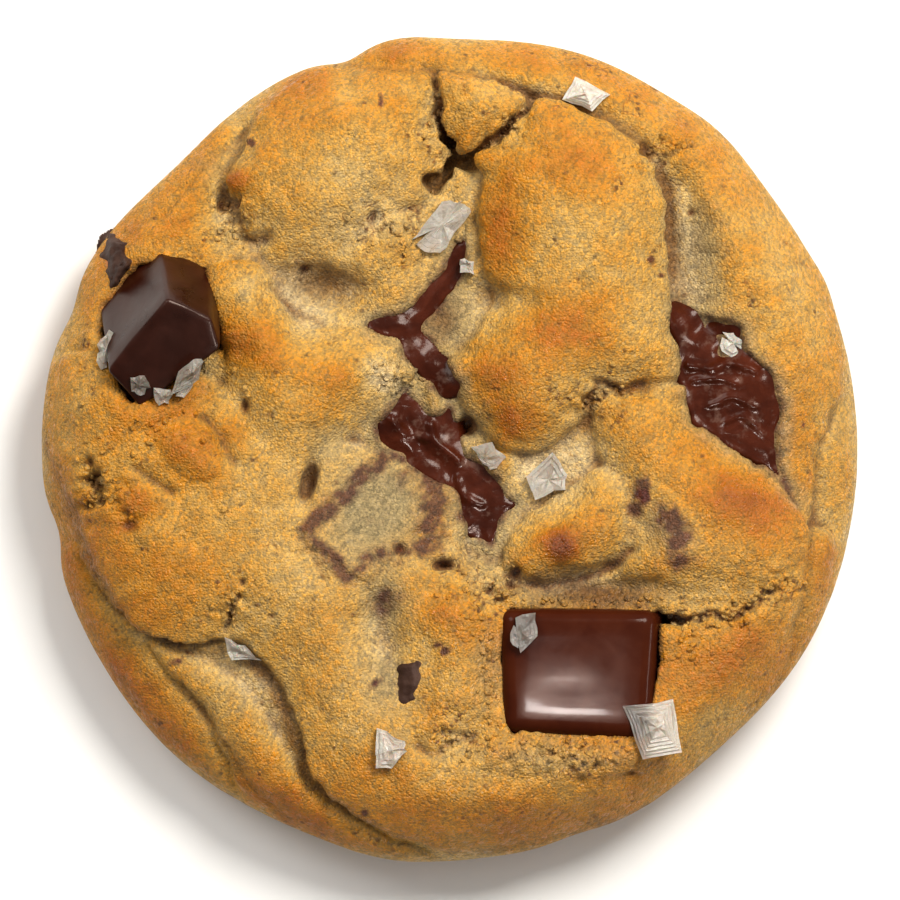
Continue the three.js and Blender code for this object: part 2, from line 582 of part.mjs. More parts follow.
function buildCookie() {
  const group = new THREE.Group();
  group.name = "chocolate_chunk_cookie";
  const pieces = chocolatePieces();
  let dough = withFlakes(toSolid(doughGeometry()), COOKIE_FLAKES, 0);
  for (const [order, piece] of pieces.entries()) {
    dough = dough.subtract(piece.bed);
    let solid = piece.solid;
    for (const earlier of pieces.slice(0, order)) {
      solid = solid.subtract(earlier.bed);
    }
    group.add(toNode(largestBody(solid), piece.name, piece.look));
  }
  group.add(toNode(largestBody(dough), "cookie", doughLook));
  return group;
}

export default buildCookie();
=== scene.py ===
# %% [markdown]
# # A chocolate chunk cookie with sea salt
# A thick bakery cookie seen from straight above: torn and folded dough, browned where it stands high and
# pale where it tore, broken bar chocolate that sank and partly melted, and coarse salt flakes.
# Everything is made of surfaces with real relief, because at this distance the eye reads the folds, the
# cracks and the grain one by one. Sizes are written in millimetres and turned to metres at the last moment.

# %% Frame, libraries and units
import math
import bmesh
import bpy
import numpy as np
from mathutils import Matrix, Vector


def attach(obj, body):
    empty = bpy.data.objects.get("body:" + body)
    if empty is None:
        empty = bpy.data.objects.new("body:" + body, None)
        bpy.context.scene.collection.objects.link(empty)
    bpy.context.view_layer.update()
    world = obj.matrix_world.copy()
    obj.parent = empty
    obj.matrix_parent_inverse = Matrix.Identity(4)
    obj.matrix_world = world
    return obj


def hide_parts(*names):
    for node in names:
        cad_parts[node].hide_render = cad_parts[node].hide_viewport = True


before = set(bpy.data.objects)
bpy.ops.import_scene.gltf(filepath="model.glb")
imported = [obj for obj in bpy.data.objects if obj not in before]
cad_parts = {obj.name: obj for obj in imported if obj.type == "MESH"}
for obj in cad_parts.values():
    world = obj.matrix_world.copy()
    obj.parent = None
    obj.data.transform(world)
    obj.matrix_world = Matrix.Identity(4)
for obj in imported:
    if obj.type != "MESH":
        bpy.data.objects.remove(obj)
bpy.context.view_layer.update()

MM = 0.001
rng = np.random.default_rng(82)

# %% [markdown]
# ## Node trees in one line each
# Every material is procedural. One helper adds a node, sets its sockets and links its inputs, so a material
# reads like a list of layers.

# %% Material helpers
def linear(hex_colour):
    """sRGB hex to the linear colour that Blender works in."""
    parts = [int(hex_colour[i:i + 2], 16) / 255 for i in (1, 3, 5)]
    return [p / 12.92 if p <= 0.04045 else ((p + 0.055) / 1.055) ** 2.4 for p in parts] + [1.0]


def new_material(name):
    material = bpy.data.materials.new(name)
    material.use_nodes = True
    material.node_tree.nodes.clear()
    return material


def add(tree, kind, inputs=None, **settings):
    """Add a node. A value in inputs that is a socket is linked, any other is set on the socket."""
    node = tree.nodes.new("ShaderNode" + kind)
    for key, value in settings.items():
        setattr(node, key, value)
    for key, value in (inputs or {}).items():
        if isinstance(value, bpy.types.NodeSocket):
            tree.links.new(value, node.inputs[key])
        else:
            node.inputs[key].default_value = value
    return node


def attribute(tree, name):
    return add(tree, "Attribute", attribute_name=name).outputs["Fac"]


def math_node(tree, operation, a, b=0.0, clamp=False):
    return add(tree, "Math", {0: a, 1: b}, operation=operation, use_clamp=clamp).outputs[0]


def mix_colour(tree, factor, a, b, blend="MIX"):
    node = add(tree, "Mix", data_type="RGBA", blend_type=blend, clamp_factor=True)
    for socket, value in ((0, factor), (6, a), (7, b)):
        if isinstance(value, bpy.types.NodeSocket):
            tree.links.new(value, node.inputs[socket])
        else:
            node.inputs[socket].default_value = value
    return node.outputs[2]


def span(tree, value, low, high, to_low=0.0, to_high=1.0):
    """Remap a value, clamped at both ends."""
    inputs = {"Value": value, "From Min": low, "From Max": high, "To Min": to_low, "To Max": to_high}
    return add(tree, "MapRange", inputs).outputs["Result"]


def noise_node(tree, grain_mm, detail=3.0, roughness=0.55, distortion=0.0):
    """Noise whose lumps are about grain_mm wide, in the piece's own coordinates."""
    place = add(tree, "TexCoord").outputs["Object"]
    inputs = {"Vector": place, "Scale": 1 / (grain_mm * MM), "Detail": detail, "Roughness": roughness,
              "Distortion": distortion}
    return add(tree, "TexNoise", inputs).outputs["Fac"]


def ramp(tree, factor, stops):
    node = add(tree, "ValToRGB", {"Fac": factor})
    elements = node.color_ramp.elements
    while len(elements) < len(stops):
        elements.new(0.5)
    for element, (position, hex_colour) in zip(elements, stops):
        element.position = position
        element.color = linear(hex_colour)
    return node.outputs["Color"]


def surface(tree, inputs):
    shader = add(tree, "BsdfPrincipled", inputs)
    add(tree, "OutputMaterial", {"Surface": shader.outputs[0]})
    return shader

# %% [markdown]
# ## The relief is a map of heights
# A cookie that spread in the oven has one height for each place on its top, so its folds are worked out on a
# fine map first, and the map is laid over the mesh later. A fold is a pillow: a height, a rounded edge and an
# outline. Where two pillows meet, the higher one wins and a crease is left between them.

# %% Tools for the height map
STEP = 0.2
SPAN = 43.0
AXIS = np.arange(-SPAN, SPAN + STEP / 2, STEP)
X, Y = np.meshgrid(AXIS, AXIS)
FREQUENCY = np.fft.fftfreq(len(AXIS), STEP)
FREQUENCY_2 = FREQUENCY[:, None] ** 2 + FREQUENCY[None, :] ** 2


def blur(field, sigma):
    """Gaussian blur, sigma in mm."""
    return np.real(np.fft.ifft2(np.fft.fft2(field) * np.exp(-2 * (np.pi * sigma) ** 2 * FREQUENCY_2)))


def smoothstep(value, low, high):
    t = np.clip((value - low) / (high - low), 0, 1)
    return t * t * (3 - 2 * t)


def lattice_noise(x, y, wave, seed):
    """Smooth noise between -1 and 1 with lumps about wave mm wide."""
    turns = np.random.default_rng(seed).uniform(0, 2 * np.pi, (64, 64))
    u, v = x / wave + 32.37, y / wave + 32.71
    i, j = np.floor(u).astype(int), np.floor(v).astype(int)
    fu, fv = u - i, v - j
    su, sv = fu ** 3 * (fu * (fu * 6 - 15) + 10), fv ** 3 * (fv * (fv * 6 - 15) + 10)

    def corner(di, dj):
        turn = turns[(i + di) % 64, (j + dj) % 64]
        return np.cos(turn) * (fu - di) + np.sin(turn) * (fv - dj)

    low = corner(0, 0) * (1 - su) + corner(1, 0) * su
    high = corner(0, 1) * (1 - su) + corner(1, 1) * su
    return (low * (1 - sv) + high * sv) * 1.5


def curve(points, closed, per=6):
    """Catmull-Rom curve through the points."""
    p = np.array(points, float)
    if closed:
        p = np.vstack([p[-1], p, p[0], p[1]])
    else:
        p = np.vstack([2 * p[0] - p[1], p, 2 * p[-1] - p[-2]])
    t = np.linspace(0, 1, per, endpoint=False)[:, None]
    rows = []
    for a, b, c, d in zip(p, p[1:], p[2:], p[3:]):
        rows.append(0.5 * (2 * b + (c - a) * t + (2 * a - 5 * b + 4 * c - d) * t ** 2
                           + (3 * b - a - 3 * c + d) * t ** 3))
    return np.vstack(rows + [p[-2:-1]])


def box_of(line, reach):
    """The part of the map within reach of a line."""
    low = np.searchsorted(AXIS, line.min(0) - reach)
    high = np.searchsorted(AXIS, line.max(0) + reach)
    return np.s_[low[1]:high[1], low[0]:high[0]]


def path_distance(x, y, line):
    nearest = np.full(x.shape, 1e9)
    for a, b in zip(line, line[1:]):
        d = b - a
        t = np.clip(((x - a[0]) * d[0] + (y - a[1]) * d[1]) / max(d @ d, 1e-9), 0, 1)
        nearest = np.minimum(nearest, (x - a[0] - d[0] * t) ** 2 + (y - a[1] - d[1] * t) ** 2)
    return np.sqrt(nearest)


def inside(x, y, line):
    odd = np.zeros(x.shape, bool)
    for a, b in zip(line, line[1:]):
        if a[1] != b[1]:
            crossing = (a[1] > y) != (b[1] > y)
            odd ^= crossing & (x < a[0] + (b[0] - a[0]) * (y - a[1]) / (b[1] - a[1]))
    return odd


def depth_inside(outline, reach=3.0, warp=True):
    """Distance in from an outline over the whole map, negative outside and cut off beyond reach."""
    line = curve(outline, True)
    box = box_of(line, reach)
    x, y = (WARP_X[box], WARP_Y[box]) if warp else (X[box], Y[box])
    distance = path_distance(x, y, line)
    field = np.full(X.shape, -reach)
    field[box] = np.maximum(np.where(inside(x, y, line), distance, -distance), -reach)
    return field


def stroke(points, half_width, keen=False):
    """1 along a line, fading to 0 over half_width. A keen stroke comes to an edge in its middle."""
    line = curve(points, False)
    box = box_of(line, half_width * 4)
    field = np.zeros(X.shape)
    far = path_distance(WARP_X[box], WARP_Y[box], line) / half_width
    field[box] = np.exp(-1.5 * far) if keen else np.exp(-far ** 2)
    return field


def spot(x, y, rx, ry=None, turn=0.0):
    """1 at a place, fading to 0 over the half widths rx and ry."""
    c, s = math.cos(math.radians(turn)), math.sin(math.radians(turn))
    u, v = (X - x) * c + (Y - y) * s, (Y - y) * c - (X - x) * s
    return np.exp(-(u / rx) ** 2 - (v / (ry or rx)) ** 2)


def total(rows):
    """The spots of a table added up."""
    return sum(amount * spot(x, y, rx, ry, turn) for x, y, rx, ry, turn, amount in rows)


def strongest(field, rows):
    """A field raised to the spots of a table, or the strokes of one, wherever those are stronger."""
    for row in rows:
        mark = row[0] * stroke(row[2], row[1]) if len(row) == 3 else row[5] * spot(*row[:5])
        field = np.maximum(field, mark)
    return field


def smooth_max(a, b, softness):
    overlap = np.maximum(softness - abs(a - b), 0) / softness
    return np.maximum(a, b) + overlap ** 2 * softness / 4


WARP_X = X + 0.25 * lattice_noise(X, Y, 3.1, 1) + 0.12 * lattice_noise(X, Y, 1.3, 2)
WARP_Y = Y + 0.25 * lattice_noise(X, Y, 3.1, 3) + 0.12 * lattice_noise(X, Y, 1.3, 4)
print("map", X.shape, "step", STEP, "mm")

# %% [markdown]
# ## Outline and dome
# Before its folds, the cookie is a low dome with a tight shoulder. Its edge is nearly round, with a flat and
# a few swells where a lump of dough pushed out.

# %% Dome
RADIUS = 41.0
WAIST = 5.5
DOME = 13.4
FULLNESS = 5
BASE_RADIUS = 37.0
BASE_FULLNESS = 2.6
SHOULDER_START, SHOULDER_SINK = 0.84, 0.62
EDGE_SWELLS = [(24, 0.3, 4), (70, 0.9, 15), (97, 0.6, 6), (134, -1.4, 13), (192, -0.8, 4), (262, 0.6, 9),
               (288, -0.4, 5), (312, -0.7, 13), (50, 0.7, 8), (105, -0.7, 3.5), (160, -0.6, 4),
               (228, 0.35, 12)]


def edge_radius(theta):
    degrees = np.degrees(theta)
    radius = np.full(np.shape(theta), RADIUS)
    for at, out, half in EDGE_SWELLS:
        radius = radius + out * np.exp(-(((degrees - at + 180) % 360 - 180) / half) ** 2)
    return radius


def dome(reach):
    return WAIST + (DOME - WAIST) * np.sqrt(1 - np.minimum(reach, 1) ** FULLNESS)


REACH = np.hypot(X, Y) / edge_radius(np.arctan2(Y, X))
BASE = dome(REACH)

# %% [markdown]
# ## Folds of dough
# The baker tore the ball of dough and pressed it together again, so it baked as sheets and lumps that lie
# over each other. They could be sculpted by hand, but a list of pillows, each with an outline, a height and
# an edge that rolls off, keeps every fold in its place and lets one number change it.

# %% Folds of dough, lowest first
# name: top, edge width, edge drop, roundness of the edge, softness where it meets others, crease, outline
FOLDS = {
    "rim": (15.0, 7.0, 3.6, 0.7, 0.8, 0.2, [
        (-10, 38.6), (-8.5, 40.6), (-3, 41.9), (5, 42), (13, 40.3), (19.5, 38), (26, 33.8), (32, 27.5),
        (36.5, 20.5), (39, 13), (39.3, 8), (38, 3.5), (36.9, -1), (36.3, -6), (35.5, -10), (33, -8),
        (29, -2), (24.5, 2), (22.8, 8), (22, 16), (21, 24), (18, 30), (12, 34), (5, 36.5), (-3, 37.6)]),
    "left rim": (14.4, 8.0, 4.5, 0.3, 1.8, 0.0, [
        (-41, -2), (-41, 6), (-40, 13), (-37, 19), (-33, 24.5), (-28, 29.5), (-23, 33), (-21, 27),
        (-24, 20), (-24, 12), (-20, 4), (-26, -2), (-34, -4)]),
    "upper sheet": (15.9, 8.0, 3.2, 0.8, 0.8, 0.5, [
        (-40.8, 8), (-40, -1), (-38.3, -4.5), (-37.2, -7.5), (-35.6, -11.5), (-33.8, -14.8), (-31, -17.3),
        (-27.5, -18.9), (-23, -19.2), (-20.3, -20), (-18, -22), (-16.5, -25), (-15, -28.5), (-13.6, -32),
        (-11, -35), (-7.5, -37.6), (-3, -39.3), (2, -40.3), (8, -40.4), (14, -39), (22, -35), (29, -29.5),
        (34.5, -22.5), (37.3, -16), (38, -10), (34, -7), (28, -9), (20, -10.5), (12, -10.5), (6, -10.5),
        (2, -9.5), (3, -7), (0, -3), (-6, 0), (-12, 2.5), (-18, 5), (-26, 8), (-33, 10)]),
    "lower fold": (13.4, 5.0, 2.8, 0.7, 0.8, 0.5, [
        (-30, -18.5), (-26, -19.5), (-22, -20.5), (-19, -23), (-16, -28), (-14, -33), (-11, -36),
        (-6, -39), (-2, -41), (-8, -40.5), (-15, -38), (-19, -35.5), (-22, -31.5), (-24.5, -27.5),
        (-27, -24), (-29.5, -21)]),
    "left plate": (15.6, 7.0, 2.8, 0.35, 1.4, 0.05, [
        (-12.5, 38.6), (-7, 38.3), (-2.2, 37.4), (-1.6, 34), (-1, 31.5), (-0.6, 29), (-1.4, 26.4),
        (-3, 24), (-5.5, 22), (-8, 20), (-12, 18.6), (-15, 18.3), (-17.5, 18.4), (-19, 20.4), (-21, 21.8),
        (-21.8, 24.5), (-22, 27.5), (-20.5, 30.5), (-19, 33), (-16, 36.5)]),
    "plate lip": (14.8, 3.4, 1.6, 0.2, 1.4, 0.0, [
        (-7.8, 23), (-5, 23), (-2.8, 21.5), (-3.2, 19.5), (-4.6, 18), (-6.5, 17), (-8.8, 16.8),
        (-10.5, 17.6), (-12, 18.8), (-9, 20.5)]),
    "top crumb": (15.7, 3.0, 1.8, 0.4, 0.8, 0.15, [
        (-1, 37.3), (2, 37.8), (5, 36.5), (7.6, 34.2), (5.6, 32.2), (3.5, 30.9), (1.8, 30.4), (0.5, 31.6),
        (-0.6, 33.6)]),
    "tongue": (17.8, 7.5, 4.8, 0.8, 1.1, 0.1, [
        (2.9, 29.6), (5, 31.2), (7.3, 33.4), (9.5, 35.1), (12.5, 34.4), (16, 32.7), (19.3, 30),
        (21.1, 26.5), (21.7, 22), (21.9, 17), (22.3, 12), (22.8, 7), (19, 5.8), (15.2, 5.2), (14, 3.8),
        (12.3, 1.8), (10, 0), (7.5, -0.4), (5, 0.2), (3, 1.8), (1.3, 4), (0, 7), (-0.2, 9), (1.2, 10.6),
        (3, 13), (4.2, 15), (3.6, 17), (2.9, 20), (2.6, 24), (3, 27)]),
    "bridge": (17.2, 6.5, 4.0, 0.7, 1.3, 0.1, [
        (15, 6), (18.5, 6.6), (22.8, 6.5), (24.2, 3.2), (27.2, 0.9), (31, -1.6), (34.2, -4.6), (35.8, -8),
        (35.6, -12), (33.5, -15), (29.5, -16.3), (25, -16.4), (21, -16), (17, -14.5), (16, -11), (17, -7),
        (15.6, -3), (14.2, 1), (14, 4)]),
    "bridge spur": (17.0, 4.6, 3.4, 0.65, 1.4, 0.1, [
        (5.2, -11.6), (5.6, -9), (7.6, -6.4), (10.4, -4.6), (13, -2.8), (15.5, -1.5), (18.5, -3),
        (18.8, -7), (17.8, -10), (15, -11.8), (12, -12.8), (9.3, -13.6), (6.6, -13.6)]),
    "finger": (16.7, 5.5, 3.6, 0.5, 1.3, 0.1, [
        (-23.7, 17.6), (-21.2, 18.8), (-18.8, 18.4), (-17.2, 16.3), (-16, 13.8), (-14, 12.2), (-11, 12.4),
        (-8.8, 12.4), (-6, 11.2), (-4, 9.2), (-3.8, 6.8), (-5.5, 5.8), (-8.5, 2.5), (-12, -1), (-14, -4),
        (-18, -3), (-21, 1), (-22.6, 5.5), (-22.2, 10), (-23.8, 14)]),
    "left knob": (17.1, 5.0, 3.6, 0.75, 1.0, 0.2, [
        (-31, 3.2), (-26.5, 4.4), (-23.3, 3.6), (-21.4, 1), (-20.5, -2), (-22, -4.4), (-25, -5),
        (-28.2, -4.2), (-30.2, -1.5), (-31.8, 0.8)]),
    "small knob": (16.3, 3.0, 2.6, 0.8, 0.6, 0.35, [
        (-34, -3), (-32, -2.3), (-30, -2.6), (-28.4, -4.2), (-28.6, -6.5), (-30.5, -8), (-33, -7.2),
        (-34.3, -5)]),
    "centre lump": (17.0, 4.4, 3.6, 0.6, 1.3, 0.15, [
        (-5, -16), (-3.5, -13.5), (-1, -12), (2, -11.8), (4, -14), (5.5, -16), (5, -19), (4.8, -23),
        (5, -27), (3, -28.5), (0.5, -29), (-1, -30), (-2, -31.2), (-3.5, -31), (-4, -28), (-3.5, -24),
        (-3, -21), (-4.6, -19)]),
}
CLIFF = 3.0
# fold_line keeps where the folds meet; it only feeds the painted shade in the colour
fold_line = np.zeros(X.shape)
height = BASE + 0.45 * lattice_noise(X, Y, 7.0, 11) + 0.25 * lattice_noise(X, Y, 3.2, 12)
for top, edge, drop, roundness, soft, tuck, outline in FOLDS.values():
    depth = depth_inside(outline)
    depth = depth + (blur(depth, 0.9) - depth) * smoothstep(depth, 0.4, 2.5)
    crown = 1 - np.clip(depth / edge, 0, 1)
    bend = roundness * (1 - np.sqrt(1 - crown ** 2)) + (1 - roundness) * smoothstep(crown, 0, 1)
    pillow = top - drop * bend + CLIFF * np.minimum(depth, 0)
    meeting = np.exp(-((pillow - height) / 0.55) ** 2) * (depth < 0.4 * edge) * (depth > -1.2)
    height = smooth_max(height, pillow, soft) - tuck * meeting
    fold_line = np.maximum(fold_line * (depth < 0.4), tuck * meeting)
print("highest fold", round(float(height.max()), 2), "mm")

# %% [markdown]
# ## Splits, valleys, pits and lumps
# The folds alone look moulded. Real dough tears: each split has a path, a depth and a width, and the crumb
# beside it rises a little.

# %% Creases and pits
SEAM = [(-10.5, 38.6), (-7, 38.2), (-3, 38), (1, 37.8), (5, 37), (8.5, 35.6)]
TONGUE_SEAM = [(9.5, 35.6), (13, 34.9), (16.9, 33.1), (19.9, 30.3), (21.8, 26.5), (22.4, 22), (22.6, 17),
               (23, 12), (23.3, 8)]
OUTER_CREASE = [(38.5, 3), (37, 0), (36.5, -4), (36.2, -8), (35.7, -13), (35, -17), (33.6, -22), (30.5, -28),
                (27, -32), (20, -36), (11.5, -38.4), (3, -40.4)]
SHEET_CREASE = [(-40.6, 1), (-39.6, -2), (-37.9, -5), (-36.6, -9), (-35, -13), (-32.8, -16.2)]
OUTER_FOLD = [(-26.8, -23.5), (-25, -26.2), (-22.8, -29), (-21, -32), (-18.8, -35), (-16, -37.2)]
CREASES = [  # change of height, half width, path
    (-0.8, 0.7, SEAM), (-0.5, 0.8, TONGUE_SEAM), (-0.7, 0.8, OUTER_CREASE), (-0.8, 0.8, SHEET_CREASE),
    (-0.7, 0.7, OUTER_FOLD),
    (-1.0, 1.6, [(-20, 31.5), (-22.5, 27.5), (-22.5, 24.5)]),
    (-0.5, 0.5, [(-18, 34.5), (-21, 31.8), (-25, 27.5), (-29, 23)]),
    (-1.4, 0.5, [(-1.5, 37), (-1, 35), (-0.7, 33.2), (-1, 32.2), (0.2, 30.8)]),
    (-3.6, 1.0, [(-0.2, 30.8), (1, 29.6), (1.6, 28.8), (0.2, 28.6), (-0.6, 27.6), (-1.6, 26.8)]),
    (-1.3, 0.45, [(7.7, 34.2), (6.4, 32.8), (5.5, 32), (3.8, 31), (2.8, 30.2)]),
    (-0.7, 0.35, [(-7.4, 23.8), (-7.8, 22.8)]),
    (-0.6, 0.35, [(-5, 23.8), (-3.8, 24.2), (-2.6, 24.5)]),
    (-0.9, 0.35, [(24.5, 30.7), (23, 30), (21.5, 29.4), (19.5, 30.2)]),
    (-0.9, 0.5, [(13.5, 4.6), (14, 5.5), (15, 6.7), (16.2, 6.4), (17.5, 6.2), (19, 6.6)]),
    (-1.3, 0.5, [(23, -17.2), (25, -16.5), (26.2, -16.2), (28, -17), (29.5, -15.8), (31, -15)]),
    (-0.9, 0.4, [(-21, -14.5), (-21.5, -15.3), (-21.8, -16.5), (-22.5, -18)]),
    (-0.6, 0.35, [(-13.8, -10), (-12.6, -13)]),
    (-0.6, 1.4, [(3.2, 15.6), (8, 14.8)]),
    (-1.5, 2.4, [(23.8, 26), (24.4, 21), (25, 16)]),
    (0.8, 1.4, [(4.5, -30.5), (11, -31), (18, -31)]),
    (-0.6, 1.4, [(-7.2, -15.5), (-6, -20), (-4.8, -24.5)]),
    (-1.0, 0.6, [(5.6, -12.6), (9.3, -13.7), (12.5, -13.2), (15.5, -12.2), (18, -10.2)]),
    (-1.0, 0.8, [(-24.5, 3.2), (-22.8, 1.4), (-21.5, -1.2)]),
    (-0.9, 0.7, [(-31.4, -1.8), (-29.4, -3.2), (-27.8, -4.4)]),
    (-1.4, 0.9, [(-21.8, 25), (-21, 22.6), (-20.2, 21.2), (-18.6, 21)]),
    (-0.8, 0.6, [(-3.2, -29.6), (-1.8, -30.4), (0.4, -29), (2.4, -28.4)]),
    (-1.6, 0.5, [(20.6, -16.0), (22.0, -16.6), (23.4, -17.3)]),
    (-0.6, 0.6, [(-17.5, 16), (-15.5, 14.2), (-13.5, 13.2), (-12.8, 12.6)]),
]
PITS = [  # x, y, half width, half height, depth
    (-21.3, 24.5, 0.5, 0.5, 1.0), (-23, 24.5, 0.4, 0.4, 0.6), (-20.5, 4.4, 0.35, 0.7, 1.2),
    (21.4, -17.0, 1.3, 0.9, 3.2), (20.4, -15.9, 0.8, 0.5, 1.6), (7.3, -15.6, 0.7, 0.35, 1.4),
    (1.6, 2.3, 0.7, 0.8, 2.4), (-0.6, -11.5, 1.0, 0.5, 2.4), (24, 23.7, 0.35, 0.35, 0.8),
    (32, -14.2, 0.5, 0.4, 1.0), (33.5, -13.2, 0.35, 0.3, 0.8), (6.6, -12.2, 0.6, 0.5, 1.4),
    (6, -13.5, 0.5, 0.4, 1.4), (4, -14, 0.4, 0.4, 1.2), (4.8, -15, 0.5, 0.4, 1.2),
    (-20.7, -13.2, 0.35, 0.4, 0.8), (-17.8, -16.6, 0.35, 0.35, 0.7), (-5, -10, 0.5, 0.5, 1.0),
    (10.2, -30.2, 0.5, 0.3, 0.8), (12.2, -31.8, 0.4, 0.4, 0.8), (14.5, -31.4, 0.4, 0.3, 0.8),
    (18.2, -32.4, 0.4, 0.3, 0.8), (2, -29, 0.5, 0.4, 0.8), (13.5, 4.5, 0.3, 0.3, 0.8),
    (-32, -7.6, 0.9, 0.6, 0.7), (-36, -1.4, 0.5, 0.7, 1.2), (-35.3, -3.3, 0.8, 1.2, 2.2),
    (-36.2, -5.6, 0.8, 0.5, 1.4), (-34.8, -5, 0.5, 0.6, 1.4), (-36.4, -3, 0.4, 0.4, 1.0),
    (-14.5, 18, 0.5, 0.4, 0.8), (-8.5, 21, 0.4, 0.25, 0.5), (-26.5, 1.2, 0.4, 0.3, 0.5),
]
# The creases and pits are also darkened in the colour through this map: painted shade
crease_shade = np.zeros(X.shape)
for change, half, path in CREASES:
    line = stroke(path, half, keen=half < 1)
    height = height + change * line
    if half < 1:
        crease_shade = np.maximum(crease_shade, line * min(-change, 1.2) * min(0.5 / half, 1))
for x, y, rx, ry, deep in PITS:
    hole = spot(x, y, rx, ry)
    height = height - deep * hole
    crease_shade = np.maximum(crease_shade, hole)

CRUMBLY = [  # x, y, half width, half height, turn: where the crust tore and shows coarse crumb
    (-1, 31.5, 2.6, 5.0, 0), (5.5, 32, 2.6, 1.6, 40), (-21.5, 23.5, 2.6, 3.0, 0), (3, -13.5, 3.6, 3.4, 0),
    (11, -31, 9, 2.2, 0), (-35, -3.5, 2.4, 3.0, 0), (15, 5, 3.6, 2.2, 0), (27, -16.3, 5, 1.6, 10),
    (33, -13.6, 2.6, 1.8, 0), (-21.5, -16, 1.8, 2.6, 0), (-5, 7.5, 2.2, 2.2, 0), (16, -15, 6, 1.6, 0),
    (0, -28, 3, 2, 0), (21, 30, 3.5, 1.6, 20), (-6, 22, 5, 3, 0), (15, 38, 6, 2, -20),
]
crumbly = np.zeros(X.shape)
for x, y, rx, ry, turn in CRUMBLY:
    crumbly = np.maximum(crumbly, spot(x, y, rx, ry, turn))
rough = 0.42 * lattice_noise(X, Y, 1.3, 24) + 0.34 * lattice_noise(X, Y, 0.8, 25)
height = height + crumbly * (rough - 0.5 * smoothstep(lattice_noise(X, Y, 1.0, 26), 0.35, 0.6))
print("creases", len(CREASES), "pits", len(PITS), "torn places", len(CRUMBLY))

# %% [markdown]
# ## Hollows, lumps and beds
# Chocolate melts before the dough sets, so it sinks, and the dough round it slumps. Soft round spots lower
# or raise the map there. The melts and the blocks then get a bed each, because a block that only cut
# through the crust would look stuck on.

# %% Hollows round the chocolate
HOLLOWS = [  # x, y, half width, half height, turn, depth
    (-13.2, 16.2, 4.0, 2.4, -8, 3.0), (-14.1, -3.2, 0.8, 1.9, -15, 3.0), (-1.5, 13.0, 3.2, 4.2, -20, 1.2),
    (-0.5, 22.5, 2.5, 5.0, 0, 0.9), (12.0, -5.6, 5.0, 2.2, 30, 0.8), (1.8, 2.0, 2.4, 3.0, 0, 0.6),
    (-7.5, -18.0, 2.6, 4.0, 0, 0.8), (13.0, -22.0, 9.0, 7.0, 0, 1.8), (26.5, 12.0, 4.0, 3.0, -40, 0.6),
    (-6.5, -5.5, 7.0, 5.5, 40, 2.0), (-6.8, -19.5, 3.0, 6.0, 8, 1.0), (14.5, -14.0, 6.0, 1.2, 4, 1.3),
    (-16.6, -25.5, 1.2, 5.0, -22, 0.5),
]
LUMPS = [  # x, y, half width, half height, turn, rise
    (22.5, 32.0, 1.3, 1.0, 0, 0.8), (-21, 27, 1.0, 0.8, 0, 0.7), (-6.5, 3.8, 1.5, 1.0, -30, 0.5),
    (-1.8, 5.6, 0.6, 1.8, 10, 0.9), (5.2, -1.2, 1.0, 2.0, -20, 0.6), (11, -9.5, 2.0, 1.8, 0, 0.6),
    (28.5, -5.0, 3.0, 2.4, 0, 0.5), (9, 26, 3.5, 3.0, 0, 0.3), (15, 22, 4.0, 5.0, 20, 0.4),
    (11, 7.5, 5.0, 4.0, 0, 0.4), (-24, -2, 2.5, 2.2, 0, 0.3), (-17, 9.5, 5.0, 2.4, -20, 0.4),
    (-15.5, -13.0, 5.0, 4.0, 30, 0.4), (-2.0, -33.0, 6.0, 3.0, 0, 0.3), (22, -34, 6.0, 2.6, 35, 0.3),
]
height = height - total(HOLLOWS) + total(LUMPS)

MELT_OUTLINES = {
    "melted_right": [(22.0, 14.5), (25, 13.8), (27.5, 13), (29.2, 12), (29.8, 10), (31.2, 8.8), (32.5, 7),
                     (33.2, 5), (33, 2), (32.8, -0.5), (33.2, -2.8), (34.7, -5), (32, -1.8), (29.5, -0.5),
                     (26.5, 1.2), (24.3, 3.2), (23.3, 5.5), (22.8, 8), (22.7, 11)],
    "melted_upper": [(0.9, 20.8), (-0.8, 18.2), (-2.8, 15.8), (-4.8, 13.9), (-7.4, 13.3), (-8.4, 12.4),
                     (-6.8, 11.6), (-5.2, 11.0), (-4.8, 9.6), (-3.4, 8.0), (-2.0, 6.2), (-0.2, 5.2),
                     (1.2, 6.2), (0.6, 8.2), (-0.8, 9.8), (-2.2, 11.2), (-2.8, 12.4), (-1.4, 14.0),
                     (0.4, 16.2), (1.4, 18.4), (1.6, 20.2)],
    "melted_lower": [(-4.5, 5.8), (-5.5, 5), (-6.8, 3.8), (-7.3, 2.2), (-7, 0.8), (-5.8, 0), (-4.5, -1.2),
                     (-2.5, -2.5), (-1, -3.2), (0.5, -4.5), (0.8, -6.5), (2, -8.5), (3.8, -9.5),
                     (4.5, -8.5), (5.5, -6.5), (6.5, -5.5), (5.5, -4.5), (4.7, -2.8), (3.8, -1.6),
                     (2, -0.8), (1.2, 0.5), (1, 2.5), (0.2, 4.2), (-1, 3.8), (-2.5, 3.8), (-3.5, 5)],
}
MELT_BED, LEFT_BED_DEPTH, SLAB_BED_DEPTH, SLAB_THICKNESS = 1.0, 4.5, 3.6, 5.0
MELT_LEVEL = {}
for name, outline in MELT_OUTLINES.items():
    depth = depth_inside(outline)
    floor = blur(np.where(depth > 0, blur(height, 1.5), height), 1.0)
    MELT_LEVEL[name] = (depth, floor)
    height = height - MELT_BED * smoothstep(depth, -0.3, 0.9)

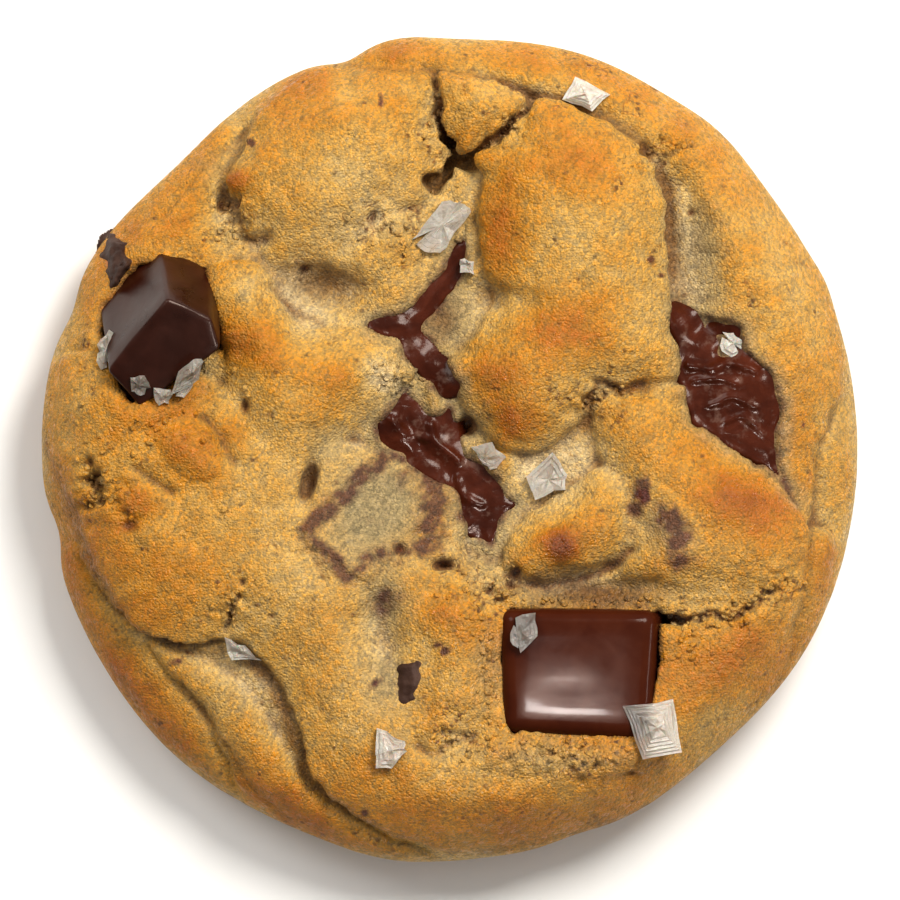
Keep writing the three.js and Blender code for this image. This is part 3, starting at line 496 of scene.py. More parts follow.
# The block at the left leans out of the dough; the slab lies nearly level in a moat
LEFT_FACE = [(-28.1, 15.0, 20.5), (-23.6, 13.0, 19.3), (-22.8, 10.0, 17.9), (-31.0, 4.2, 15.8),
             (-34.0, 7.8, 17.6)]
LEFT_BACK = [(-29.0, 20.2, 12.0), (-24.1, 18.4, 11.6), (-22.9, 17.0, 10.0), (-30.0, 10.0, 8.0),
             (-35.6, 16.5, 8.6)]
SLAB_TOP = [(5.4, -27.9), (19.8, -28.6), (20.6, -16.1), (5.2, -15.9)]
SLAB_HEIGHT = 16.2
left_bed = depth_inside([(-28.8, 20.0), (-24.2, 18.6), (-23.0, 16.0), (-22.5, 10), (-31, 3.8), (-34.6, 8.0),
                         (-35.2, 13.6), (-32.2, 18.6)])
height = height - LEFT_BED_DEPTH * smoothstep(left_bed, 0.0, 1.0)
slab_bed = depth_inside([(5.2, -27.9), (9, -28.2), (14, -28.5), (17, -29.4), (20.4, -29.2), (21.2, -26),
                         (21.3, -16.2), (13, -16), (4.9, -16.0)])
height = height - SLAB_BED_DEPTH * smoothstep(slab_bed, 0.0, 0.8)
rim_of_bed = np.exp(-((left_bed + 0.9) / 0.7) ** 2) * (left_bed < 0)
height = height + 0.5 * rim_of_bed * (Y < 12)

# Fine crust: small lumps
height = height + 0.15 * lattice_noise(X, Y, 2.1, 21) + 0.06 * lattice_noise(X, Y, 1.0, 22)
shoulder = 1 - SHOULDER_SINK * smoothstep(REACH, SHOULDER_START, 1)
HEIGHT = BASE + (height - BASE) * shoulder
SOFT = blur(HEIGHT, 0.8)
print("crust from", round(float(HEIGHT[REACH < 1].min()), 2), "to", round(float(HEIGHT.max()), 2), "mm")

# %% [markdown]
# ## Where it browned, where it stayed pale, where chocolate stained it, where shade is painted
# Heat colours whatever stands high and thin, so most of the browning follows from the relief. The stronger
# patches, the pale tears and the grey stains beside the chocolate are placed one by one.
# Creases, pits and the dough under the edges of folds are also darkened in the colour: that is painted shade.

# %% Colour maps
TOAST_SPOTS = [  # x, y, half width, half height, turn, amount
    (5, 22, 2.6, 5.0, 0, 0.34), (14, 28, 4.0, 3.0, -20, 0.20), (11, 12, 5.0, 3.6, 0, 0.32),
    (4.5, 7, 2.0, 3.0, 0, 0.2), (7, 2.5, 3.0, 2.2, 0, 0.30), (29, -5, 6.0, 4.4, -20, 0.34),
    (25, 1.5, 3.6, 2.4, 0, 0.18), (11, -9.5, 1.7, 1.6, 0, 0.55), (27, -21, 5.0, 4.0, 30, 0.18),
    (5, -37, 13, 3.2, 0, 0.12), (-1, -15.5, 3.6, 3.2, 0, 0.12), (-2, -25, 1.3, 4.0, 0, 0.15),
    (-18, 9.5, 6.0, 2.6, -15, 0.16), (-27, 0, 4.4, 4.4, 0, 0.22), (-31.5, -5, 2.6, 2.2, 0, 0.20),
    (-32, -7.6, 1.0, 0.7, 0, 0.3), (-21.5, 2, 2.2, 2.0, 0, 0.25), (-21, 27, 1.2, 1.0, 0, 0.3),
    (-27, 22.5, 4.5, 1.4, 20, 0.12), (-26, -11, 6.0, 5.0, -30, 0.22), (5, 38.5, 9, 1.6, -4, 0.12),
    (-33, -22, 4.0, 13.0, 38, 0.24), (-13, -36, 6.0, 2.4, -30, 0.06), (32, 20, 4.0, 8.0, 25, 0.04),
    (-7, -31, 3, 2, 0, 0.15), (15, 3.5, 2.0, 2.2, 0, 0.2), (18.5, 6, 2.2, 1.5, 0, 0.2),
    (-39, -8, 2, 7, 10, 0.2),
]
PALE_SPOTS = [  # the tears and the sides of the folds, where little heat came
    (-12, 25, 6, 6, 0, 0.12), (-7, 7.5, 2.6, 2.0, -30, 0.5), (20, 14, 3.5, 5, 0, 0.12),
    (-16, -11, 4, 3, 0, 0.1), (2, -24, 3, 4, 0, 0.05), (11, -31, 8, 2.0, 0, 0.1),
    (-20.5, 16, 2.6, 2.2, 0, 0.25), (9, -13.6, 6, 1.6, 0, 0.2), (33, 18, 4, 10, 20, 0.18),
    (-37, 8, 3, 8, 0, 0.1), (8, -1.5, 2.4, 3, 0, 0.25), (-23, -24, 3, 4, -30, 0.15),
    (-24.5, 8.5, 1.6, 1.6, 0, 0.4), (4, 35, 3, 2, 0, 0.15), (25, -29, 5, 3, 40, 0.16),
]
STAIN_SPOTS = [  # chocolate that bled into the dough
    (-1.8, -6.2, 1.9, 5.0, 8, 1.15), (-4.6, -2.6, 1.8, 1.2, 40, 0.7), (-5.5, -10.6, 2.0, 1.4, 0, 0.7),
    (-7.5, -6, 3.6, 3.0, 43, 0.25), (22.3, -8.2, 1.7, 2.8, 25, 0.75), (-13.6, 15.6, 1.8, 1.2, 0, 0.3),
    (-14.1, -3.2, 0.8, 1.8, -15, 0.6), (-1.5, 14, 2.4, 3.0, -20, 0.35), (25, 20, 1.4, 2.4, 0, 0.15),
    (25.5, 14.8, 2.0, 1.2, 0, 0.4), (-6.6, -15, 1.5, 1.5, 0, 1.2), (-7, -11.5, 1.8, 2.4, 20, 0.35),
    (-5.8, -22.4, 2.0, 2.6, 0, 0.35), (-22.5, 30.5, 1.2, 0.8, 20, 0.4), (-14.8, -2.8, 0.9, 2.0, 20, 0.4),
    (2.2, 1.4, 1.0, 2.0, 0, 0.35), (22.3, -8.4, 3.4, 2.0, -50, 0.85), (-27.3, -21, 1.0, 0.6, 0, 0.3),
]
STAIN_LINES = [  # amount, half width, path: the edges of the blocks that lie under a film of dough
    (1.5, 1.0, [(-14.6, -8.3), (-11.2, -5.0), (-8.2, -2.2), (-5.8, 0)]),
    (1.5, 0.9, [(-14.6, -8.3), (-12.3, -10.6), (-10, -12.8)]),
    (1.1, 0.9, [(-10, -12.8), (-8.2, -10.9), (-5.4, -9.8)]),
    (1.5, 1.3, [(-2.0, -2.6), (-1.4, -6.0), (-2.6, -9.4)]),
    (0.8, 0.6, [(-5.6, -9.8), (-4.2, -10.2)]),
    (0.7, 0.8, [(-6.4, -14), (-5, -14.8)]), (0.5, 0.9, [(-8.5, -12.5), (-6.8, -17)]),
    (1.6, 0.9, [(19.2, -3.4), (18.6, -5.8)]), (1.4, 1.3, [(21.4, -6.4), (22.8, -8.2), (22.8, -10.6)]),
    (0.6, 0.5, [(-8, -23.6), (-6.6, -22.6)]),
]
WAN_SPOTS = [  # grey-green film and dough that baked damp beside the chocolate
    (-7.5, -5.8, 5.6, 4.6, 43, 1.2), (-6.5, -15, 2.6, 4.2, 0, 0.8), (-0.8, 13.5, 3.0, 4.2, -20, 1.2),
    (25, 20.5, 2.6, 5.0, 0, 0.75), (-13.6, 16.8, 3.4, 2.2, 10, 0.7), (2, 2, 2.2, 3.4, 0, 0.7),
    (21.5, -8, 3.8, 2.6, -45, 0.6), (-6.5, -23, 2.6, 3.6, 0, 0.7), (4, -10.5, 3, 2.4, 0, 0.6),
    (11, -30.6, 9, 1.8, -3, 0.5), (3.4, -22, 1.6, 5.5, 0, 0.5), (-12, 0, 3, 2.6, -30, 0.5),
    (25.5, 15, 2.6, 2.2, 0, 0.6), (-24.5, 7.6, 1.8, 2.0, 0, 0.5), (-23.6, 28.5, 2.6, 2.0, 0, 0.4),
    # The grey at (15, -14.2) on the ledge under the spur is partly grey film, partly painted shade
    (14, 3, 2.2, 1.6, 0, 0.4), (15, -14.2, 7, 1.5, 0, 0.8), (-4, 22, 3, 4, 0, 0.3),
]
SPECKS = [  # x, y, half width, half height: bits of chocolate in the crust
    (20, 19, 0.45, 0.8), (21, 17.4, 0.4, 0.4), (-0.5, -20, 0.8, 0.5), (-6.9, 34.9, 0.35, 0.9),
    (-8.4, -36, 0.5, 0.4), (35.2, 2.5, 0.3, 0.5), (-19.8, 30.7, 0.5, 0.5), (-7.5, -23.2, 0.4, 0.5),
    (-27.3, -21.2, 0.8, 0.4), (-1.2, -19.5, 0.6, 0.5), (19.2, -4.6, 0.9, 1.0),
]
SHADE_SPOTS = [  # painted shade of a fold, darkened in the colour
    (14.5, -14.3, 7.5, 1.5, 2, 1.1), (-12.6, 16.6, 5.0, 2.4, -12, 0.9), (-1.0, 13.0, 2.4, 3.4, -20, 0.9),
    (9, -13.0, 5.0, 1.4, 15, 0.8), (24.6, 20.5, 1.6, 5.0, 0, 0.45), (11.5, -30.4, 7.5, 1.2, -3, 0.35),
    (3.6, -22, 1.2, 5.5, 0, 0.35), (1.5, -11.5, 2.4, 1.8, 0, 0.5), (-30, -23, 1.5, 6.0, 40, 0.5),
    (-21.5, -25.5, 2.0, 5.0, 30, 0.35), (-7.0, -18.5, 2.0, 4.0, 0, 0.25),
    (-14.1, -3.2, 0.9, 2.0, -15, 1.3), (22, -9.5, 3.0, 2.0, -45, 0.4),
]
SHADE_LINES = [  # amount, half width, path: painted shade on the dough under the edge of a fold
    (0.95, 1.2, [(-20.5, -20.6), (-18.4, -22.6), (-16.8, -25.5), (-15.8, -28.5), (-14.4, -31.8)]),
    (0.6, 1.0, [(-14.4, -31.8), (-11.2, -35.0), (-7.8, -37.4)]),
    (0.6, 1.1, [(-38.4, -4.5), (-36.9, -9), (-34.8, -13.4), (-31.6, -17.2), (-27.5, -19.6), (-23, -20)]),
    (0.45, 1.0, [(-27, -23.6), (-25.2, -26.4), (-23, -29.4), (-20.6, -33)]),
    (0.4, 0.9, [(36.6, -3), (36.2, -8), (35.6, -13), (34.4, -19)]),
    (0.55, 1.0, [(22.6, 25), (23, 20), (23.4, 15), (23.2, 11)]),
]
relief = np.clip((HEIGHT - blur(HEIGHT, 3.0)) / 1.2, -1, 1)
toast = 0.33 + 0.22 * relief + 0.10 * lattice_noise(X, Y, 8.0, 31) + 0.06 * lattice_noise(X, Y, 2.6, 32)
toast = toast + total(TOAST_SPOTS) - total(PALE_SPOTS) + 0.16 * smoothstep(REACH, 0.90, 1.0)
# Painted shade: the colour darkens where the crust lies below its surroundings, along the fold lines and in
# the shade spots and lines
painted_shade = np.clip((blur(HEIGHT, 1.1) - HEIGHT) / 0.8, 0, 1)
painted_shade = strongest(painted_shade, SHADE_SPOTS + SHADE_LINES)
off_the_edge = 1 - smoothstep(REACH, 0.95, 0.995)
painted_shade, fold_line = painted_shade * off_the_edge, fold_line * off_the_edge
stain = strongest(np.zeros(X.shape), STAIN_SPOTS + STAIN_LINES)
wan = strongest(np.zeros(X.shape), WAN_SPOTS)
for depth, _ in MELT_LEVEL.values():
    wan = np.maximum(wan, 0.7 * smoothstep(depth, -2.2, 0.0))
    stain = np.maximum(stain, 0.8 * smoothstep(depth, -0.9, 0.1))
blotch = 0.85 + 0.6 * lattice_noise(X, Y, 1.6, 33) + 0.5 * lattice_noise(X, Y, 0.7, 35)
stain = stain * np.clip(blotch, 0.45, 1.3)
stain = np.maximum(stain, 0.75 * smoothstep(left_bed, -0.5, 0.2))
stain = np.maximum(stain, 0.85 * smoothstep(slab_bed, -0.3, 0.2))
speck = np.zeros(X.shape)
for x, y, rx, ry in SPECKS:
    speck = np.maximum(speck, spot(x, y, rx, ry) * (0.8 + 0.6 * lattice_noise(X, Y, 0.7, 34)))
MAPS = {"toast": np.clip(toast, 0, 1), "stain": np.clip(stain, 0, 1), "speck": np.clip(speck, 0, 1),
        "crack_shade": np.clip(crease_shade, 0, 1), "wan": np.clip(wan, 0, 1), "crumb": crumbly,
        "painted_shade": np.clip(np.maximum(painted_shade, 0.8 * fold_line), 0, 1)}
print({name: round(float(field[REACH < 1].mean()), 2) for name, field in MAPS.items()})


def sample(field, x, y):
    """Read a map between its points."""
    u = np.clip((x + SPAN) / STEP, 0, len(AXIS) - 1.001)
    v = np.clip((y + SPAN) / STEP, 0, len(AXIS) - 1.001)
    i, j = u.astype(int), v.astype(int)
    fu, fv = u - i, v - j
    low = field[j, i] * (1 - fu) + field[j, i + 1] * fu
    high = field[j + 1, i] * (1 - fu) + field[j + 1, i + 1] * fu
    return low * (1 - fv) + high * fv

# %% [markdown]
# ## The dough
# A square grid is rounded to a disc and bent over the cookie's section, so its rows stay even from the
# middle to the edge. The border is extruded down the side and under the base. The map then lifts the top, and
# the high edges of the folds are pushed outward a little, because real folds overhang what they lie on.

# %% Dough mesh
GRID = 270
SIDE_RINGS = 16
OVERHANG = 0.9

turn = np.linspace(0, np.pi / 2, 400)
profile_r = np.sin(turn) ** (2 / FULLNESS)
profile_z = WAIST + (DOME - WAIST) * np.cos(turn)
run = np.concatenate([[0], np.cumsum(np.hypot(np.diff(profile_r * RADIUS), np.diff(profile_z)))])
run = run / run[-1]

mesh = bmesh.new()
bmesh.ops.create_grid(mesh, x_segments=GRID, y_segments=GRID, size=1.0)
mesh.verts.ensure_lookup_table()
flat = np.array([v.co[:2] for v in mesh.verts])
major = np.maximum(abs(flat[:, 0]), abs(flat[:, 1]))
wide = abs(flat[:, 0]) >= abs(flat[:, 1])
safe = np.where(major > 0, major, 1)
slant = np.where(wide, flat[:, 1], flat[:, 0]) / safe * np.pi / 4
u = np.where(wide, np.sign(flat[:, 0]) * np.cos(slant), np.sin(slant))
v = np.where(wide, np.sin(slant), np.sign(flat[:, 1]) * np.cos(slant))
theta = np.arctan2(v, u)
reach = np.interp(major, run, profile_r)
radius = reach * edge_radius(theta)
top_x, top_y = radius * np.cos(theta), radius * np.sin(theta)
nominal = dome(reach)
lift = sample(HEIGHT, top_x, top_y) - dome(reach)
sharp = np.clip(sample(HEIGHT - SOFT, top_x, top_y), -0.25, 0.9)
slope_y, slope_x = np.gradient(SOFT, STEP)
steep_x, steep_y = sample(slope_x, top_x, top_y), sample(slope_y, top_x, top_y)
steep = np.hypot(steep_x, steep_y) + 1e-6
push = OVERHANG * sharp * np.minimum(steep, 1.2) / steep * smoothstep(1 - reach, 0.01, 0.06)
co = np.stack([top_x - push * steep_x, top_y - push * steep_y, nominal + lift], 1)
for vert, place in zip(mesh.verts, co * MM):
    vert.co = place
edge_angle = theta[major > 0.999]
print("top", len(mesh.verts), "points")


def extrude_ring(mesh, edges):
    """Extrude a closed border and give back its new edges and points."""
    out = bmesh.ops.extrude_edge_only(mesh, edges=edges)["geom"]
    return ([e for e in out if isinstance(e, bmesh.types.BMEdge)],
            [p for p in out if isinstance(p, bmesh.types.BMVert)])


edges = [e for e in mesh.edges if e.is_boundary]
rim_points = {}
for ring in range(1, SIDE_RINGS + 1):
    edges, points = extrude_ring(mesh, edges)
    bend = ring / SIDE_RINGS * math.pi / 2
    share = 1 - math.sin(bend)
    tuck = (RADIUS - BASE_RADIUS) * (1 - max(math.cos(bend), 0) ** (2 / BASE_FULLNESS))
    angles = np.array([math.atan2(p.co.y, p.co.x) for p in points])
    around, up = np.cos(angles) * RADIUS, np.sin(angles) * RADIUS + share * 9.0
    swell = 0.5 * lattice_noise(around, up, 5.0, 13) + 0.22 * lattice_noise(around, up, 1.9, 14)
    outs = edge_radius(angles) - tuck + math.sin(bend * 2) * swell
    for p, angle, out in zip(points, angles.tolist(), outs.tolist()):
        rim_points.setdefault(round(angle, 4), p.co.z / MM)
        fall = rim_points[round(angle, 4)] * share
        p.co = Vector((out * math.cos(angle), out * math.sin(angle), fall)) * MM
for inner in (0.985, 0.93, 0.6, 0.2):
    edges, points = extrude_ring(mesh, edges)
    for p in points:
        angle = math.atan2(p.co.y, p.co.x)
        out = (float(edge_radius(angle)) - RADIUS + BASE_RADIUS) * inner
        p.co = Vector((out * math.cos(angle), out * math.sin(angle), 0)) * MM
bmesh.ops.pointmerge(mesh, verts=points, merge_co=(0, 0, 0))
bmesh.ops.recalc_face_normals(mesh, faces=mesh.faces)
for face in mesh.faces:
    face.smooth = True
dough_mesh = bpy.data.meshes.new("dough")
mesh.to_mesh(dough_mesh)
mesh.free()
place = np.empty(len(dough_mesh.vertices) * 3)
dough_mesh.vertices.foreach_get("co", place)
place = place.reshape(-1, 3) / MM
count = len(co)
side = place[count:]
grow = np.clip(RADIUS / np.maximum(np.hypot(side[:, 0], side[:, 1]), 1), 1, 1.05)
fade = smoothstep(side[:, 2], 2.0, 8.0) ** 2
up = side[:, 1] + side[:, 2]
tray = 0.5 + 0.12 * lattice_noise(side[:, 0], up, 9.0, 15) + 0.10 * lattice_noise(side[:, 0], up, 3.0, 16)
tray = tray + 0.2 * smoothstep(3.0 - side[:, 2], 0, 3.0)
for name, field in MAPS.items():
    values = np.zeros(len(place))
    values[:count] = sample(field, top_x, top_y)
    values[count:] = sample(field, side[:, 0] * grow, side[:, 1] * grow) * fade
    if name == "toast":
        values[count:] += tray * (1 - fade)
    dough_mesh.attributes.new(name, "FLOAT", "POINT").data.foreach_set("value", values)
dough = bpy.data.objects.new("baked_dough", dough_mesh)
bpy.context.scene.collection.objects.link(dough)
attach(dough, "root")
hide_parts("cookie")
print("dough", len(dough_mesh.polygons), "faces")

# %% [markdown]
# ## Baked dough
# The crust is matt and sandy: browned sugar and flour grains on the high places, pale crumb in the tears.
# The colour runs along one line from pale cream over gold to brown, and the maps choose the place on it. A
# thin butter sheen lies on the browned parts, so they are a little smoother.
# Creases, pits, pores and hairline splits are darkened in the colour as painted shade.

# %% Dough material
dough_look = new_material("baked_cookie_dough")
tree = dough_look.node_tree
place = add(tree, "TexCoord").outputs["Object"]
coarse = math_node(tree, "SUBTRACT", noise_node(tree, 1.3, 3, 0.6), 0.5)
fine = math_node(tree, "SUBTRACT", noise_node(tree, 0.28, 2, 0.7), 0.5)
grains = add(tree, "TexVoronoi", {"Vector": place, "Scale": 1 / (0.55 * MM)})
sand = add(tree, "TexVoronoi", {"Vector": place, "Scale": 1 / (0.25 * MM)})
each = math_node(tree, "SUBTRACT", grains.outputs["Color"], 0.5)
mote = math_node(tree, "SUBTRACT", sand.outputs["Color"], 0.5)
speckle = math_node(tree, "ADD", math_node(tree, "MULTIPLY", mote, 0.8),
                    math_node(tree, "MULTIPLY", fine, 0.9))
speckle = math_node(tree, "ADD", speckle, math_node(tree, "MULTIPLY", each, 0.35))
between = span(tree, grains.outputs["Distance"], 0.38, 0.75)

heat = math_node(tree, "ADD", attribute(tree, "toast"), math_node(tree, "MULTIPLY", coarse, 0.28))
heat = math_node(tree, "ADD", heat, math_node(tree, "MULTIPLY", speckle, 0.25))
crust = ramp(tree, heat, [(0.0, "#c8b083"), (0.22, "#bf9e60"), (0.42, "#b98b3d"), (0.60, "#b4761a"),
                          (0.80, "#9e570c"), (1.0, "#6c320a")])
crust = mix_colour(tree, math_node(tree, "MULTIPLY", between, 0.15), crust, linear("#8f5a1c"))

wobble = add(tree, "TexNoise", {"Vector": place, "Scale": 1 / (1.2 * MM), "Detail": 1.0}).outputs["Color"]
bent = add(tree, "VectorMath", {0: wobble, 1: (1.6 * MM,) * 3, 2: place}, operation="MULTIPLY_ADD").outputs[0]
split = add(tree, "TexVoronoi", {"Vector": bent, "Scale": 1 / (2.0 * MM)}, feature="DISTANCE_TO_EDGE")
torn = math_node(tree, "ADD", noise_node(tree, 2.2, 1),
                 math_node(tree, "MULTIPLY", attribute(tree, "crumb"), 0.2))
grit = span(tree, torn, 0.4, 0.7, 0.15, 1.0)
# Painted shade in the hairline splits and in the pores below: both are drawn as darker crust
hairline_shade = math_node(tree, "MULTIPLY", span(tree, split.outputs["Distance"], 0.01, 0.05, 1.0, 0.0),
                 span(tree, torn, 0.64, 0.76))
crust = mix_colour(tree, math_node(tree, "MULTIPLY", hairline_shade, 0.7), crust, linear("#6a3a0e"))

pore_shade = math_node(tree, "MULTIPLY", span(tree, each, -0.17, -0.23), span(tree, torn, 0.55, 0.72))
pore_shade = math_node(tree, "MULTIPLY", pore_shade, span(tree, grains.outputs["Distance"], 0.6, 0.3))
crust = mix_colour(tree, math_node(tree, "MULTIPLY", pore_shade, 0.8), crust, linear("#5c300f"))
wan = math_node(tree, "ADD", attribute(tree, "wan"), math_node(tree, "MULTIPLY", coarse, 0.9))
crust = mix_colour(tree, span(tree, wan, 0.15, 0.9, 0.0, 0.85), crust, linear("#8a7a55"))
# Painted shade in creases, along fold lines and under the edges of folds
low = math_node(tree, "ADD", attribute(tree, "painted_shade"), math_node(tree, "MULTIPLY", coarse, 0.4))
crust = mix_colour(tree, span(tree, low, 0.25, 1.0, 0.0, 0.85), crust, linear("#633a0c"))
stain = math_node(tree, "ADD", attribute(tree, "stain"), math_node(tree, "MULTIPLY", coarse, 0.6))
crust = mix_colour(tree, span(tree, stain, 0.2, 0.95, 0.0, 0.9), crust, linear("#4f2a1e"))
crust = mix_colour(tree, span(tree, attribute(tree, "speck"), 0.25, 0.6, 0.0, 0.9), crust, linear("#4b2019"))
# Painted shade in the creases and pits
crust = mix_colour(tree, span(tree, attribute(tree, "crack_shade"), 0.15, 0.9, 0.0, 0.8), crust, linear("#5c2f10"))

light = math_node(tree, "ADD", speckle, math_node(tree, "MULTIPLY", coarse, 0.28))
glow = span(tree, light, -0.4, 0.5, 0.55, 1.55)
crust = add(tree, "VectorMath", {0: crust, "Scale": glow}, operation="SCALE").outputs[0]

bump_height = math_node(tree, "ADD", math_node(tree, "MULTIPLY", speckle, 0.6),
                        math_node(tree, "MULTIPLY", coarse, 0.45))
lobes = math_node(tree, "MULTIPLY", grains.outputs["Distance"], grit)
bump_height = math_node(tree, "SUBTRACT", bump_height, math_node(tree, "MULTIPLY", lobes, 0.6))
bump_height = math_node(tree, "SUBTRACT", bump_height,
                        math_node(tree, "MULTIPLY", sand.outputs["Distance"], 0.4))
bump = add(tree, "Bump", {"Height": bump_height, "Strength": 0.9, "Distance": 0.33 * MM}).outputs["Normal"]
glint = span(tree, each, 0.16, 0.26, 1.0, 0.5)
roughness = math_node(tree, "MULTIPLY", span(tree, attribute(tree, "toast"), 0.2, 0.9, 0.7, 0.5), glint)
surface(tree, {"Base Color": crust, "Roughness": roughness, "Specular IOR Level": 0.25, "Normal": bump})
dough.data.materials.append(dough_look)

# %% [markdown]
# ## Dark chocolate
# Bar chocolate that softened in the oven and set again: its corners are rounded, its faces keep a broad soft
# gloss, and the melted runs have wet wrinkles.

# %% Chocolate materials
def chocolate_material(name, dark, light, wrinkle, rough, shine, coat, film=0.0):
    look = new_material(name)
    tree = look.node_tree
    cloud = noise_node(tree, 3.5, 4, 0.6, 0.4)
    wave = noise_node(tree, 1.3, 3, 0.5, 0.8)
    colour = mix_colour(tree, span(tree, cloud, 0.35, 0.7), linear(dark), linear(light))
    dull = math_node(tree, "MULTIPLY", span(tree, noise_node(tree, 2.2, 4, 0.65), 0.56, 0.68), film)
    colour = mix_colour(tree, dull, colour, linear("#75594c"))
    bump = add(tree, "Bump", {"Height": wave, "Strength": wrinkle, "Distance": 0.5 * MM}).outputs["Normal"]
    roughness = span(tree, cloud, 0.3, 0.7, rough * 0.8, rough * 1.3)
    surface(tree, {"Base Color": colour, "Roughness": roughness, "Specular IOR Level": shine,
                   "Specular Tint": (1.0, 0.80, 0.70, 1.0), "Coat Weight": coat, "Coat Roughness": 0.08,
                   "Normal": bump})
    return look


chocolate_look = chocolate_material("dark_chocolate", "#351106", "#3f1707", 0.015, 0.2, 0.06, 0.06)
block_look = chocolate_material("broken_chocolate", "#200601", "#2e0d04", 0.04, 0.3, 0.32, 0.0)
melt_look = chocolate_material("melted_chocolate", "#2e0d04", "#4a1c0c", 0.22, 0.24, 0.12, 0.08, 0.4)
smear_look = chocolate_material("smeared_chocolate", "#2b1a14", "#4a352c", 0.4, 0.5, 0.12, 0.0)


def finish_piece(name, mesh, look, node=None, smooth=True):
    """Turn a bmesh into a placed piece with its material and body, and hide the node it replaces."""
    bmesh.ops.remove_doubles(mesh, verts=mesh.verts, dist=0.001 * MM)
    bmesh.ops.recalc_face_normals(mesh, faces=mesh.faces)
    for face in mesh.faces:
        face.smooth = smooth
    data = bpy.data.meshes.new(name)
    mesh.to_mesh(data)
    mesh.free()
    piece = bpy.data.objects.new(name, data)
    bpy.context.scene.collection.objects.link(piece)
    piece.data.materials.append(look)
    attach(piece, "root")
    if node:
        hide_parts(node)
    print(name, len(data.polygons), "faces")
    return piece

# %% [markdown]
# ## The blocks
# Pieces of a broken bar: flat faces, edges that softened in the oven. The slab starts as a cube whose corners
# are carried to the places of the real one, and the block at the left as a five-sided face that is pulled
# back. Their edges are then rounded, and their faces divided and unsettled a little.

# %% Blocks of chocolate
def refine(mesh, bevel, segments, unsettle, cuts=6):
    """Round the edges of a block, divide its faces and unsettle them a little."""
    bmesh.ops.recalc_face_normals(mesh, faces=mesh.faces)
    bmesh.ops.bevel(mesh, geom=mesh.edges[:], offset=bevel * MM, segments=segments, profile=0.5,
                    affect="EDGES", material=-1)
    bmesh.ops.triangulate(mesh, faces=[f for f in mesh.faces if len(f.verts) > 4])
    bmesh.ops.subdivide_edges(mesh, edges=[e for e in mesh.edges if e.calc_length() > 1.5 * MM], cuts=cuts,
                              use_grid_fill=True)
    place = np.array([v.co for v in mesh.verts]) / MM
    for axis in range(3):
        a, b = place[:, (axis + 1) % 3], place[:, (axis + 2) % 3]
        place[:, axis] += unsettle * lattice_noise(a + 11 * axis, b, 2.6, 51 + axis)
    for vert, p in zip(mesh.verts, place * MM):
        vert.co = p
    return mesh


def block(corners_low, corners_high, bevel, segments, unsettle):
    """A cube with its lower and upper corners moved to the given places (mm), rounded and unsettled."""
    mesh = bmesh.new()
    bmesh.ops.create_cube(mesh, size=2.0)
    for vert in mesh.verts:
        corners = corners_high if vert.co.z > 0 else corners_low
        index = {(-1, -1): 0, (1, -1): 1, (1, 1): 2, (-1, 1): 3}[(round(vert.co.x), round(vert.co.y))]
        vert.co = Vector(corners[index]) * MM
    return refine(mesh, bevel, segments, unsettle)


mesh = bmesh.new()
bmesh.ops.create_circle(mesh, cap_ends=True, segments=len(LEFT_FACE), radius=1.0)
for vert, place in zip(mesh.verts, LEFT_FACE):
    vert.co = Vector(place) * MM
pulled = bmesh.ops.extrude_face_region(mesh, geom=mesh.faces[:])["geom"]
for vert in (v for v in pulled if isinstance(v, bmesh.types.BMVert)):
    near = min(range(len(LEFT_FACE)), key=lambda i: (vert.co - Vector(LEFT_FACE[i]) * MM).length)
    vert.co = Vector(LEFT_BACK[near]) * MM
chunk_left = finish_piece("chocolate_block_left", refine(mesh, 0.4, 3, 0.1), block_look, "chunk_left")

SLAB_FOOT = [(4.8, -28.6), (20.6, -30.0), (21.6, -15.5), (4.6, -15.4)]
slab_low = [(x, y, SLAB_HEIGHT - SLAB_THICKNESS) for x, y in SLAB_FOOT]
slab_high = [(x, y, SLAB_HEIGHT) for x, y in SLAB_TOP]
slab = finish_piece("chocolate_slab", block(slab_low, slab_high, 1.3, 5, 0.08), chocolate_look, "chunk_slab")

# %% [markdown]
# ## Melted runs
# Melted chocolate found its level in the hollows and set there. Each run is a sheet laid at that level,
# a little larger than its hollow, so the dough itself cuts its shoreline.

# %% Runs of melted chocolate
RIPPLES = [  # change of height, half width, path: the skin of the melts wrinkled as it set
    (-0.9, 1.4, [(25.4, 12.4), (27.2, 11.2), (27.6, 9.8)]),
    (0.5, 0.5, [(24, 8.6), (26, 8.2), (28.4, 8.8), (30.4, 8)]),
    (0.35, 0.4, [(24.4, 6.9), (26.6, 7.2), (28.6, 6.6)]), (0.3, 0.35, [(26, 4.5), (28.2, 5.2), (30.4, 4.4)]),
    (0.3, 0.3, [(27.4, 2.6), (29.4, 3.2), (31.4, 1.6)]), (0.35, 0.4, [(-6, 3.2), (-4, 1.6), (-2.4, 1.2)]),
    (0.4, 0.4, [(-2, 2.8), (-1.2, 0.6), (0.8, -1.2)]), (0.35, 0.35, [(0.5, -2.8), (1.4, -4.6), (3.4, -5.4)]),
    (-0.4, 0.6, [(-4.5, 4), (-3, 0.4), (0, -2.4)]),
]


